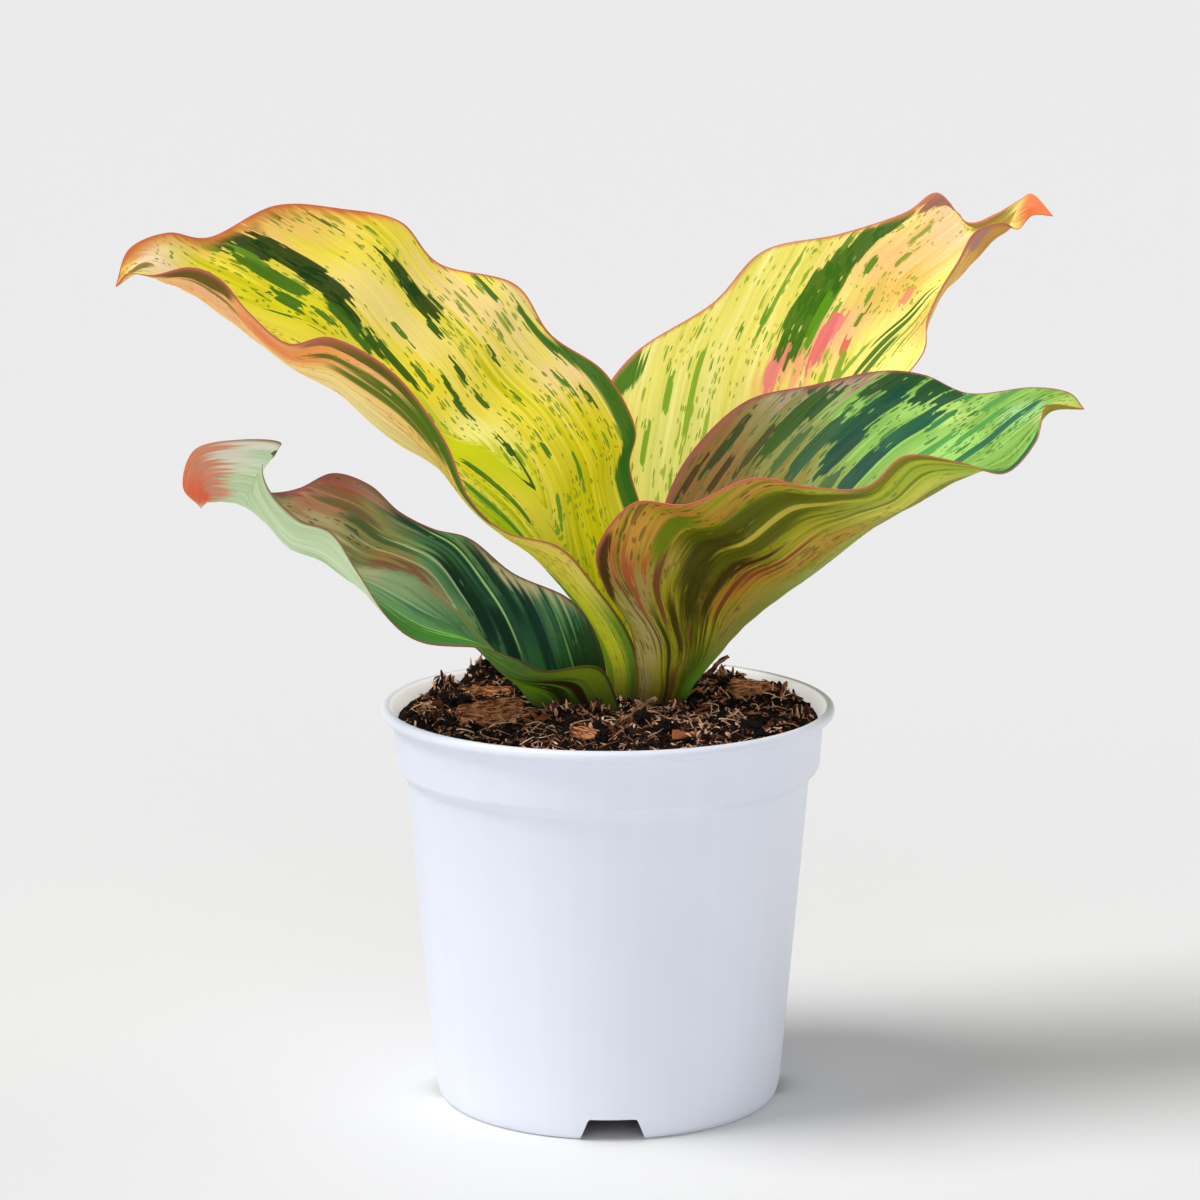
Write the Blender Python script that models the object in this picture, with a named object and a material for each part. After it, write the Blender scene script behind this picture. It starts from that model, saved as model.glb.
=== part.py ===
"""Potted peacock ginger: a white nursery pot, its soil, the rootstock and four broad leaves.

Metres, +Z up, +X to the right and -Y towards the viewer. The origin is the middle of the
pot's base, on the surface that it stands on. Tables of points are in millimetres.
"""

import math
import random

import bmesh
import bpy
from mathutils import Matrix, Vector

MM = 0.001
GAP = 0.3 * MM  # clearance that a piece keeps to the one it rests on

# Pot
POT_HEIGHT = 115.0 * MM
BEAD_RADIUS = 65.0 * MM  # outside of the rolled rim
BEAD_CREST_RADIUS = 63.4 * MM
BEAD_INNER_RADIUS = 62.0 * MM
BEAD_HEIGHT = 3.5 * MM
BAND_TOP_RADIUS = 61.7 * MM
BAND_FOOT_RADIUS = 60.7 * MM
BAND_FOOT_Z = 97.2 * MM
STEP_Z = 94.4 * MM  # where the band's chamfer meets the body
BODY_TOP_RADIUS = 57.8 * MM
BODY_FOOT_RADIUS = 50.2 * MM
BODY_FOOT_Z = 5.0 * MM
BASE_RADIUS = 48.4 * MM
WALL = 1.3 * MM
FLOOR_Z = 8.4 * MM  # top of the floor plate
FOOT_RING = 3.2 * MM  # width of the ring that the pot stands on
POT_SEGMENTS = 56
NOTCHES = 4
NOTCH_TURN = math.radians(1.5)
NOTCH_TOP_WIDTH = 13.6 * MM
NOTCH_FOOT_WIDTH = 18.4 * MM
NOTCH_HEIGHT = 6.4 * MM
DRAIN_RADIUS = 4.0 * MM
DRAIN_RING_RADIUS = 27.0 * MM
DRAIN_RING_COUNT = 6

# Soil, as (radius, height) from the crown to the pot's wall
SOIL_TOP = [(0, 112.3), (20, 112.0), (32, 111.2), (42, 110.2), (50, 109.6)]
SOIL_EDGE_Z = 109.2 * MM
SOIL_SEGMENTS = 40

# Rootstock, a knobbly lens that carries the leaves
ROOT_CENTRE = Vector((3.0, 12.0, 109.0)) * MM
ROOT_RADII = Vector((27.0, 19.0, 26.0)) * MM
ROOT_TOP_Z = 112.0 * MM
ROOT_KNOB = 0.06  # share of the radius that the knobs stand out

# Leaves
LEAF_BASE_Z = ROOT_TOP_Z + GAP
LEAF_THICKNESS = 0.9 * MM
LEAF_STEPS_ALONG = 26
LEAF_STEPS_ACROSS = 8
TIP_WIDTH = 0.08  # share of the last step's width that is left at the tip

# Each leaf is a sheet over three rails that run from base to tip: the edge nearer the front,
# the keel and the far edge.
LEAF_RAILS = {
    "leaf_left_upper": {
        "near": [
            (5, 9, 112), (5, 7, 124), (1, 5, 135), (-3, 2, 147), (-13.5, -4, 160.5),
            (-29, -12, 166.5), (-39, -16, 177), (-45.5, -19, 193.5), (-59, -20, 212),
            (-76, -20, 222), (-88.5, -20, 220.5), (-99, -20, 229), (-106.5, -20, 238),
            (-115, -20, 241.5), (-125, -21, 239.5), (-132, -22, 240), (-135.5, -22, 236.5),
        ],
        "keel": [
            (3, 13, 112), (0, 12, 126), (-6.5, 10, 140), (-16, 8, 154.5), (-25.5, 7, 170),
            (-39.5, 6, 182.5), (-54, 4, 189.5), (-70.5, 2, 204.5), (-86.5, -1, 218),
            (-101.5, -5, 226), (-116, -10, 234.5), (-127, -16, 241.5), (-135.5, -22, 236.5),
        ],
        "far": [
            (12, 18, 112), (13, 21, 124), (14, 24, 136), (13, 27, 147), (10.5, 30, 163.5),
            (6.5, 33, 178), (8, 35, 189.5), (-1, 36, 205.5), (-16.5, 35, 216.5), (-27, 33, 231.5),
            (-48.5, 31, 237.5), (-59.5, 27, 250), (-76, 23, 254), (-94.5, 16, 255.5),
            (-112, 6, 247.5), (-123, -3, 249.5), (-132.5, -14, 246), (-135.5, -22, 236.5),
        ],
    },
    "leaf_right_upper": {
        "near": [
            (21, 17, 112), (31, 20, 129), (44, 24, 147), (57, 28, 165), (71, 32, 183),
            (83, 36, 199.5), (92, 38, 211), (93, 40, 220), (97, 42, 229), (102, 43, 237),
            (106, 46, 244), (110, 46, 247), (116, 47, 248), (120, 47, 246), (124, 47, 250),
            (130, 45, 250),
        ],
        "keel": [
            (19, 24, 112), (23, 32, 127), (30, 40, 145), (39, 47, 164), (51, 52, 183), (62, 56, 199),
            (74, 58, 212), (85, 59, 221), (93, 58, 228), (102, 57, 233), (108, 55, 238),
            (112.5, 53, 242.5), (117, 51, 246), (120, 50, 251), (125, 48, 253), (130, 45, 250),
        ],
        "far": [
            (12, 25, 112), (9, 28, 127), (3, 31, 151), (-1, 34, 174), (-2.5, 37, 194.5),
            (8, 40, 210.5), (30.5, 44, 224.5), (45.5, 48, 239.5), (67.5, 52, 244), (87, 55, 250),
            (97, 56, 256), (105.5, 55, 247.5), (114, 54, 250), (120.5, 53, 254), (124.5, 50, 256),
            (130, 45, 250),
        ],
    },
    "leaf_right_lower": {
        "near": [
            (7, 2, 112), (8, 0, 126), (6, -4, 138), (-1, -9, 150), (-3, -17, 163), (7, -27, 177),
            (22, -35, 178), (39, -40, 186), (55, -43, 184), (70, -43, 184), (81, -39, 192),
            (97, -32, 189), (110, -22, 184.5), (120, -9, 191.5), (124, 2, 200), (136, 12, 198),
        ],
        "keel": [
            (23, 6, 112), (26, 4, 120), (32, 2, 129), (39, 0, 138), (49, -3, 147), (60, -5, 156),
            (72, -6, 166), (84, -6, 175), (96.5, -5, 181), (108, -2, 186.5), (116.5, 3, 192),
            (126, 8, 198), (136, 12, 198),
        ],
        "far": [
            (11, 10, 112), (12, 15, 124), (12, 20, 138), (14, 25, 152), (16, 29, 166), (24, 32, 182),
            (40, 34, 197), (60, 34, 202), (79, 34, 206), (92, 33, 205), (105, 30, 200),
            (122, 24, 202.5), (132, 17, 202), (136, 12, 198),
        ],
    },
    "leaf_left_lower": {
        "near": [
            (4, -1, 112), (-2.5, -5, 126), (-17.5, -14, 127), (-26, -24, 132.5), (-35, -34, 137.5),
            (-50.5, -42, 140.5), (-59.5, -46, 147.5), (-68, -47, 161), (-75, -47, 172),
            (-84, -48, 176), (-91.5, -50, 184), (-93, -52, 192), (-88, -53, 197.5),
            (-99, -54, 198.5), (-111, -55, 196), (-114.5, -55, 186), (-110, -54, 180),
        ],
        "keel": [
            (-17, 2, 112), (-22, -2, 118), (-29, -5, 126), (-37, -9, 136), (-45, -13, 145),
            (-53, -17, 152), (-62.5, -20, 155.5), (-71, -24, 157.5), (-79, -29, 162.5),
            (-87, -34, 166.5), (-92.5, -39, 173), (-97, -43, 178), (-100, -46, 181),
            (-103, -49, 182), (-107, -51, 182.5), (-109, -53, 181.5), (-110, -54, 180),
        ],
        "far": [
            (0, 6, 112), (-1, 4, 126), (-5, 3, 137), (-12, 3, 145), (-27, 2, 152), (-39, 1, 162),
            (-49.5, -2, 165.5), (-59, -5, 171), (-67, -8, 179), (-77, -12, 183), (-86, -20, 180),
            (-93, -28, 180), (-99, -38, 183), (-103, -44, 184), (-107, -48, 184), (-109, -52, 183),
            (-110, -54, 180),
        ],
    },
}

# Bark chips: place on the soil (x, y), heading in degrees, then length, width and thickness
BARK_CHIPS = {
    "bark_chip_front_left": ((-33, -12), 24, (16, 8, 2.4)),
    "bark_chip_left": ((-34, 17), -12, (9, 5, 1.8)),
    "bark_chip_right": ((41, 20), 28, (10, 6, 2.0)),
    "bark_chip_front": ((-6, -33), -35, (8, 5, 1.6)),
}
# Twigs: place of the middle, heading, then length, thick and thin radius
TWIGS = {
    "twig_front": ((8, -22), 52, (15, 1.1, 0.8)),
    "twig_right": ((40, -6), -22, (12, 0.8, 0.5)),
    "twig_back": ((30, 38), 15, (10, 0.9, 0.6)),
}
SEED = 7

# Colour, roughness and metallic value of each finish
FINISHES = {
    "white_plastic": ((0.80, 0.82, 0.86), 0.35, 0.0),
    "soil_brown": ((0.045, 0.022, 0.012), 0.95, 0.0),
    "root_tan": ((0.34, 0.20, 0.10), 0.8, 0.0),
    "bark_brown": ((0.22, 0.09, 0.04), 0.9, 0.0),
    "twig_brown": ((0.30, 0.15, 0.07), 0.9, 0.0),
    "leaf_yellow": ((0.72, 0.70, 0.16), 0.4, 0.0),
    "leaf_cream": ((0.78, 0.70, 0.30), 0.4, 0.0),
    "leaf_green": ((0.20, 0.34, 0.10), 0.4, 0.0),
    "leaf_teal": ((0.06, 0.22, 0.12), 0.4, 0.0),
}
LEAF_FINISHES = {
    "leaf_left_upper": "leaf_yellow",
    "leaf_right_upper": "leaf_cream",
    "leaf_right_lower": "leaf_green",
    "leaf_left_lower": "leaf_teal",
}


def clear_scene():
    for obj in list(bpy.data.objects):
        bpy.data.objects.remove(obj, do_unlink=True)


def make_finishes():
    made = {}
    for name, (colour, roughness, metallic) in FINISHES.items():
        finish = bpy.data.materials.new(name)
        finish.use_nodes = True
        shader = finish.node_tree.nodes["Principled BSDF"]
        shader.inputs["Base Color"].default_value = (*colour, 1.0)
        shader.inputs["Roughness"].default_value = roughness
        shader.inputs["Metallic"].default_value = metallic
        made[name] = finish
    return made


def add_object(name, bm, finish, smooth_angle=None):
    """Turns a bmesh into a named object with one finish, shaded smooth up to an angle."""
    mesh = bpy.data.meshes.new(name)
    bm.to_mesh(mesh)
    bm.free()
    if finish:
        mesh.materials.append(finish)
    if smooth_angle:
        mesh.shade_smooth()
        mesh.set_sharp_from_angle(angle=math.radians(smooth_angle))
    obj = bpy.data.objects.new(name, mesh)
    bpy.context.scene.collection.objects.link(obj)
    return obj


def add_cutter(name, bm, target):
    """Subtracts a hidden helper from its target."""
    cutter = add_object(name, bm, None)
    cutter.hide_render = True
    cutter.display_type = "WIRE"
    cut = target.modifiers.new(name, "BOOLEAN")
    cut.operation = "DIFFERENCE"
    cut.solver = "EXACT"
    cut.object = cutter
    return cutter


def turn_profile(profile, segments):
    """Spins an outline of (radius, height) points round +Z; its ends lie on the axis."""
    bm = bmesh.new()
    verts = [bm.verts.new((radius, 0, height)) for radius, height in profile]
    edges = [bm.edges.new(pair) for pair in zip(verts, verts[1:])]
    bmesh.ops.spin(
        bm, geom=verts + edges, cent=(0, 0, 0), axis=(0, 0, 1),
        angle=2 * math.pi, steps=segments, use_merge=True,
    )
    bmesh.ops.remove_doubles(bm, verts=bm.verts, dist=0.001 * MM)
    bmesh.ops.recalc_face_normals(bm, faces=bm.faces)
    return bm


def soil_height(radius):
    """Height of the soil's surface at a distance from the pot's axis."""
    points = [(r * MM, z * MM) for r, z in SOIL_TOP] + [(BEAD_INNER_RADIUS, SOIL_EDGE_Z)]
    for (r0, z0), (r1, z1) in zip(points, points[1:]):
        if radius <= r1:
            return z0 + (z1 - z0) * (radius - r0) / (r1 - r0)
    return SOIL_EDGE_Z


def make_pot(finish):
    bead_foot = POT_HEIGHT - BEAD_HEIGHT
    outer = [
        (BASE_RADIUS, 0),
        (BASE_RADIUS + 1.1 * MM, 1.6 * MM),
        (BODY_FOOT_RADIUS, BODY_FOOT_Z),
        (BODY_TOP_RADIUS, STEP_Z),
        (BAND_FOOT_RADIUS, BAND_FOOT_Z),
        (BAND_TOP_RADIUS, bead_foot),
        (BEAD_RADIUS - 0.6 * MM, bead_foot + 0.2 * MM),
        (BEAD_RADIUS, POT_HEIGHT - 1.7 * MM),
        (BEAD_RADIUS - 0.5 * MM, POT_HEIGHT - 0.5 * MM),
        (BEAD_CREST_RADIUS, POT_HEIGHT),
    ]
    inner = [
        (BEAD_INNER_RADIUS, POT_HEIGHT - 0.7 * MM),
        (BAND_TOP_RADIUS - WALL, bead_foot),
        (BAND_FOOT_RADIUS - WALL, BAND_FOOT_Z + WALL),
        (BODY_TOP_RADIUS - WALL, STEP_Z + WALL),
        (BODY_FOOT_RADIUS - WALL, FLOOR_Z),
        (0, FLOOR_Z),
    ]
    underside = [
        (0, FLOOR_Z - WALL),
        (BASE_RADIUS - FOOT_RING + 0.4 * MM, FLOOR_Z - WALL),
        (BASE_RADIUS - FOOT_RING, 0),
    ]
    bm = turn_profile(underside + outer + inner, POT_SEGMENTS)
    pot = add_object("pot", bm, finish, smooth_angle=35)
    cut_drain_holes(pot)
    cut_foot_notches(pot)
    return pot


def cut_drain_holes(pot):
    places = [(0.0, 0.0)]
    for i in range(DRAIN_RING_COUNT):
        angle = 2 * math.pi * (i + 0.5) / DRAIN_RING_COUNT
        places.append((DRAIN_RING_RADIUS * math.cos(angle), DRAIN_RING_RADIUS * math.sin(angle)))
    bm = bmesh.new()
    for x, y in places:
        bmesh.ops.create_cone(
            bm, cap_ends=True, segments=12, radius1=DRAIN_RADIUS, radius2=DRAIN_RADIUS,
            depth=4 * WALL, matrix=Matrix.Translation((x, y, FLOOR_Z - WALL / 2)),
        )
    add_cutter("drain_hole_cutter", bm, pot)


def cut_foot_notches(pot):
    """Trapezoid notches through the foot ring, wider at the bottom."""
    below = 2 * MM
    slope = (NOTCH_FOOT_WIDTH - NOTCH_TOP_WIDTH) / NOTCH_HEIGHT
    reach_in, reach_out = BASE_RADIUS - 3 * FOOT_RING, BASE_RADIUS + 2 * FOOT_RING
    bm = bmesh.new()
    for i in range(NOTCHES):
        turn = Matrix.Rotation(2 * math.pi * i / NOTCHES + NOTCH_TURN, 4, "Z")
        made = bmesh.ops.create_cube(bm, size=1.0)["verts"]
        for vert in made:
            top = vert.co.z > 0
            width = NOTCH_TOP_WIDTH if top else NOTCH_FOOT_WIDTH + slope * below
            vert.co = Vector((
                reach_out if vert.co.x > 0 else reach_in,
                math.copysign(width / 2, vert.co.y),
                NOTCH_HEIGHT if top else -below,
            ))
        bmesh.ops.transform(bm, matrix=turn, verts=made)
    add_cutter("foot_notch_cutter", bm, pot)


def root_shape(grow, top_z):
    """The rootstock's knobbly lens, grown all round and cut level at its top."""
    bm = bmesh.new()
    bmesh.ops.create_uvsphere(bm, u_segments=20, v_segments=12, radius=1.0)
    for vert in bm.verts:
        x, y, z = vert.co
        angle = math.atan2(y, x)
        knob = 1 + ROOT_KNOB * math.sin(5 * angle) * math.sin(3 * math.pi * z) * (1 - z * z)
        vert.co = Vector(((ROOT_RADII.x + grow) * x * knob, (ROOT_RADII.y + grow) * y * knob,
                          (ROOT_RADII.z + grow) * z)) + ROOT_CENTRE
    cut = bmesh.ops.bisect_plane(
        bm, geom=bm.verts[:] + bm.edges[:] + bm.faces[:], plane_co=(0, 0, top_z),
        plane_no=(0, 0, 1), clear_outer=True,
    )
    rim = [item for item in cut["geom_cut"] if isinstance(item, bmesh.types.BMEdge)]
    bmesh.ops.contextual_create(bm, geom=rim)
    bmesh.ops.recalc_face_normals(bm, faces=bm.faces)
    return bm


def make_rootstock(finish):
    return add_object("rootstock", root_shape(0, ROOT_TOP_Z), finish, smooth_angle=40)


def make_soil(finish):
    """Fills the pot to the band, with a mound at the crown and a pocket for the rootstock."""
    top = [(r * MM, z * MM) for r, z in SOIL_TOP]
    side = [
        (BAND_TOP_RADIUS - WALL - 3 * GAP, SOIL_EDGE_Z),
        (BAND_FOOT_RADIUS - WALL - 1.5 * GAP, BAND_FOOT_Z + WALL + GAP),
        (BODY_TOP_RADIUS - WALL - 1.5 * GAP, STEP_Z + WALL),
        (BODY_FOOT_RADIUS - WALL - 1.5 * GAP, FLOOR_Z + GAP),
        (0, FLOOR_Z + GAP),
    ]
    soil = add_object("soil", turn_profile(top + side, SOIL_SEGMENTS), finish, smooth_angle=40)
    add_cutter("root_pocket_cutter", root_shape(1.5 * GAP, POT_HEIGHT + 2 * MM), soil)
    return soil


def along(points, share):
    """A point on the smooth curve through hand-set points, at a share of the way along."""
    place = share * (len(points) - 1)
    i = min(int(place), len(points) - 2)
    t = place - i
    p1, p2 = Vector(points[i]), Vector(points[i + 1])
    p0 = Vector(points[i - 1]) if i > 0 else 2 * p1 - p2
    p3 = Vector(points[i + 2]) if i + 2 < len(points) else 2 * p2 - p1
    return 0.5 * (
        2 * p1 + (p2 - p0) * t + (2 * p0 - 5 * p1 + 4 * p2 - p3) * t ** 2
        + (3 * p1 - p0 - 3 * p2 + p3) * t ** 3
    )


def leaf_point(rails, share, side):
    """A point of the blade: side runs from -1 at the near edge through the keel to 1."""
    near, keel, far = (along(rails[name], share) for name in ("near", "keel", "far"))
    middle = (near + far) / 2
    return keel + side * (far - near) / 2 + side ** 2 * (middle - keel)


def make_leaf(name, rails, finish):
    bm = bmesh.new()
    bmesh.ops.create_grid(
        bm, x_segments=LEAF_STEPS_ALONG, y_segments=LEAF_STEPS_ACROSS, size=1.0
    )
    last_step = 1 - 1 / LEAF_STEPS_ALONG
    for vert in bm.verts:
        share, side = (vert.co.x + 1) / 2, vert.co.y
        if share > last_step + 0.5 / LEAF_STEPS_ALONG:
            tip = leaf_point(rails, 1, 0)
            wide = leaf_point(rails, last_step, side) - leaf_point(rails, last_step, 0)
            vert.co = (tip + TIP_WIDTH * wide) * MM
        else:
            vert.co = leaf_point(rails, share, side) * MM
    bm.normal_update()
    for vert in bm.verts:
        vert.co += vert.normal * LEAF_THICKNESS / 2
    bmesh.ops.solidify(bm, geom=bm.faces[:], thickness=LEAF_THICKNESS)
    for vert in bm.verts:
        if vert.co.z < LEAF_BASE_Z + LEAF_THICKNESS / 2:
            vert.co.z = LEAF_BASE_Z
    bmesh.ops.triangulate(bm, faces=bm.faces[:])
    bmesh.ops.recalc_face_normals(bm, faces=bm.faces)
    return add_object(name, bm, finish, smooth_angle=50)


def on_soil(place, heading, height):
    """Turns a piece to its heading, tilts it to the mound and lifts it clear of the soil."""
    x, y = (value * MM for value in place)
    radius = math.hypot(x, y)
    step = 3 * MM
    slope = (soil_height(radius + step) - soil_height(radius - step)) / (2 * step)
    outward = Vector((x, y, 0)) / radius
    normal = Vector((-slope * outward.x, -slope * outward.y, 1)).normalized()
    tilt = Vector((0, 0, 1)).rotation_difference(normal).to_matrix().to_4x4()
    foot = Vector((x, y, soil_height(radius))) + normal * height
    return Matrix.Translation(foot) @ tilt @ Matrix.Rotation(math.radians(heading), 4, "Z")


def make_bark_chip(name, place, heading, size, chance, finish):
    """A split flake of bark: flat underneath, uneven above."""
    bm = bmesh.new()
    bmesh.ops.create_cube(bm, size=1.0)
    bmesh.ops.subdivide_edges(bm, edges=bm.edges[:], cuts=1, use_grid_fill=True)
    length, width, thickness = (value * MM for value in size)
    for vert in bm.verts:
        low = vert.co.z < -0.25
        vert.co.x *= length * chance.uniform(0.82, 1.1)
        vert.co.y *= width * chance.uniform(0.75, 1.1)
        vert.co.z = 0 if low else (vert.co.z + 0.5) * thickness * chance.uniform(0.75, 1.15)
    bmesh.ops.transform(bm, matrix=on_soil(place, heading, GAP), verts=bm.verts)
    bmesh.ops.triangulate(bm, faces=bm.faces[:])
    bmesh.ops.recalc_face_normals(bm, faces=bm.faces)
    return add_object(name, bm, finish, smooth_angle=25)


def make_twig(name, place, heading, size, finish):
    """A tapered stick that lies on the soil."""
    length, thick, thin = (value * MM for value in size)
    bm = bmesh.new()
    bmesh.ops.create_cone(
        bm, cap_ends=True, segments=8, radius1=thick, radius2=thin, depth=length,
        matrix=Matrix.Rotation(math.pi / 2, 4, "Y"),
    )
    bmesh.ops.transform(bm, matrix=on_soil(place, heading, thick + GAP), verts=bm.verts)
    return add_object(name, bm, finish, smooth_angle=50)


def main():
    clear_scene()
    finishes = make_finishes()
    make_pot(finishes["white_plastic"])
    make_soil(finishes["soil_brown"])
    make_rootstock(finishes["root_tan"])
    for name, rails in LEAF_RAILS.items():
        make_leaf(name, rails, finishes[LEAF_FINISHES[name]])
    chance = random.Random(SEED)
    for name, (place, heading, size) in BARK_CHIPS.items():
        make_bark_chip(name, place, heading, size, chance, finishes["bark_brown"])
    for name, (place, heading, size) in TWIGS.items():
        make_twig(name, place, heading, size, finishes["twig_brown"])


main()
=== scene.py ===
import math
import random

import bmesh
import bpy
from mathutils import Matrix, Vector, noise


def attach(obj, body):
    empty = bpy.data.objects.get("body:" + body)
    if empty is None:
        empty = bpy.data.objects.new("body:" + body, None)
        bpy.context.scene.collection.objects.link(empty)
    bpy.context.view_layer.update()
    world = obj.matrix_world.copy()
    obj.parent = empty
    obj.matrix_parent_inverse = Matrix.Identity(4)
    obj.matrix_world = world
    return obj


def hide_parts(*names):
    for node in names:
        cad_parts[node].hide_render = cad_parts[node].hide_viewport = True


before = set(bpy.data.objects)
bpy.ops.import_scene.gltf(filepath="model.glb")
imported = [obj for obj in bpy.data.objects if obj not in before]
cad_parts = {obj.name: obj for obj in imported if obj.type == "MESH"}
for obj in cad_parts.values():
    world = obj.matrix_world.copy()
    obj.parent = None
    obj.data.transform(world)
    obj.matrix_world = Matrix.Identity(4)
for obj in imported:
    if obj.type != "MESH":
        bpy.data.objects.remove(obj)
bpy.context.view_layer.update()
mm = 0.001
print("frame loaded:", len(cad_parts), "nodes")

# Tools for finishes and pieces

def tint(code):
    # a colour written as web hex, in the linear light that shaders use
    steps = [int(code[i:i + 2], 16) / 255 for i in (0, 2, 4)]
    return (*[s / 12.92 if s <= 0.04045 else ((s + 0.055) / 1.055) ** 2.4 for s in steps], 1.0)


def addObject(name, data):
    made = bpy.data.objects.new(name, data)
    bpy.context.scene.collection.objects.link(made)
    return made


class Flow:
    # one shader socket, so that sums on it are written as sums
    def __init__(self, tree, socket):
        self.tree, self.socket = tree, socket

    def __add__(self, other):
        return self.tree.sums("ADD", self, other)

    def __sub__(self, other):
        return self.tree.sums("SUBTRACT", self, other)

    def __rsub__(self, other):
        return self.tree.sums("SUBTRACT", other, self)

    def __mul__(self, other):
        return self.tree.sums("MULTIPLY", self, other)

    def __truediv__(self, other):
        return self.tree.sums("DIVIDE", self, other)

    __radd__ = __add__
    __rmul__ = __mul__


class Tree:
    # the nodes of a material or a world
    def __init__(self, owner):
        owner.use_nodes = True
        self.nodes, self.links = owner.node_tree.nodes, owner.node_tree.links

    def add(self, kind, settings=None, values=(), out=0):
        node = self.nodes.new(kind)
        for name, value in (settings or {}).items():
            if name == "stops":
                self.setStops(node.color_ramp, value)
            else:
                setattr(node, name, value)
        self.feed(node, values if isinstance(values, dict) else dict(enumerate(values)))
        return Flow(self, node.outputs[out])

    def setStops(self, ramp, stops):
        while len(ramp.elements) < len(stops):
            ramp.elements.new(1.0)
        for element, (place, code) in zip(ramp.elements, stops):
            element.position, element.color = place, tint(code)

    def feed(self, node, values):
        for key, value in values.items():
            if isinstance(value, Flow):
                self.links.new(value.socket, node.inputs[key])
            else:
                node.inputs[key].default_value = value

    def sums(self, operation, first, second):
        return self.add("ShaderNodeMath", {"operation": operation}, [first, second])


class Finish(Tree):
    # a material that is built up from flows
    def __init__(self, name, gloss, paintedGlow=0.0):
        self.material = bpy.data.materials.new(name)
        super().__init__(self.material)
        self.shader = self.nodes["Principled BSDF"]
        self.feed(self.shader, {"Specular IOR Level": gloss, "Emission Strength": paintedGlow})

    def place(self):
        return self.add("ShaderNodeTexCoord", out="Object")

    def reading(self, name, out="Fac"):
        return self.add("ShaderNodeAttribute", {"attribute_name": name}, out=out)

    def parts(self, vector):
        split = self.add("ShaderNodeSeparateXYZ", None, [vector])
        return [Flow(self, socket) for socket in split.socket.node.outputs]

    def vector(self, x, y, z):
        return self.add("ShaderNodeCombineXYZ", None, [x, y, z])

    def vectorSum(self, first, second, operation="ADD"):
        return self.add("ShaderNodeVectorMath", {"operation": operation}, [first, second])

    def length(self, vector):
        return self.add("ShaderNodeVectorMath", {"operation": "LENGTH"}, [vector], out="Value")

    def noise(self, vector, size, detail=2.0, roughness=0.5):
        return self.add("ShaderNodeTexNoise", None, {
            "Vector": vector, "Scale": size, "Detail": detail, "Roughness": roughness})

    def rise(self, value, low, high):
        # 0 below low, 1 above high; low may be the larger, and then it falls
        return self.add("ShaderNodeMapRange", {"interpolation_type": "SMOOTHSTEP"},
                        {"Value": value, "From Min": low, "From Max": high})

    def most(self, first, second):
        return self.sums("MAXIMUM", first, second)

    def ramp(self, value, stops):
        return self.add("ShaderNodeValToRGB", {"stops": stops}, [value])

    def mixed(self, amount, first, second, blend="MIX"):
        first, second = [tint(c) if isinstance(c, str) else c for c in (first, second)]
        return self.add("ShaderNodeMix", {"data_type": "RGBA", "blend_type": blend},
                        {0: amount, 6: first, 7: second}, out=2)

    def done(self, colour, roughness, height, relief):
        # relief is the bump's strength, and its depth in millimetres
        bump = self.add("ShaderNodeBump", None, {
            "Strength": relief[0], "Distance": relief[1] * mm, "Height": height})
        self.feed(self.shader, {"Base Color": colour, "Roughness": roughness, "Normal": bump})
        return self.material


def addPiece(name, bm, finishes=(), sharpFrom=None):
    mesh = bpy.data.meshes.new(name)
    bm.to_mesh(mesh)
    bm.free()
    for finish in finishes:
        mesh.materials.append(finish)
    mesh.shade_smooth()
    if sharpFrom:
        mesh.set_sharp_from_angle(angle=math.radians(sharpFrom))
    return addObject(name, mesh)


def settle(piece, slot, *nodes):
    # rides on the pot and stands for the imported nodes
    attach(piece, "root")
    if nodes:
        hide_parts(*nodes)
    print("made", piece.name, len(piece.data.polygons), "faces")


# Camera, floor and light

view = {
    "place": (-0.00229, -1.0631, 0.34369),
    "tilt": 79.39,  # degrees up from looking straight down
    "lens": 113.8,
    "sensor": 36,
    "farthest": 200,
}
studio = {
    "skyStrength": 0.29,
    "skyTone": "ffffff",
    "backdropTone": "eaeaea",
    "lamps": [  # name, strength, softness in degrees, where it shines from
        ("window_light", 2.3, 30, (-0.53, -0.12, 0.84)),
        ("left_fill", 0.42, 50, (-0.9, -0.4, 0.08)),
        ("front_fill", 0.86, 70, (-0.1, -0.98, 0.17)),
        ("right_fill", 0.95, 50, (0.966, 0.26, 0.08)),
    ],
}
floor = {
    "reach": 45, "tones": ("eaeaea", "e2e2e3"), "cloudSize": 1.5, "cloudShow": 0.04,
    "grainSize": 400, "rough": 0.75, "gloss": 0.02, "bump": (0.05, 0.2),
}


def makeCamera():
    camera = addObject("camera", bpy.data.cameras.new("camera"))
    camera.location = view["place"]
    camera.rotation_euler = (math.radians(view["tilt"]), 0, 0)
    camera.data.lens = view["lens"]
    camera.data.sensor_width = view["sensor"]
    camera.data.clip_end = view["farthest"]
    camera.data.dof.use_dof = False
    bpy.context.scene.camera = camera


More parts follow.
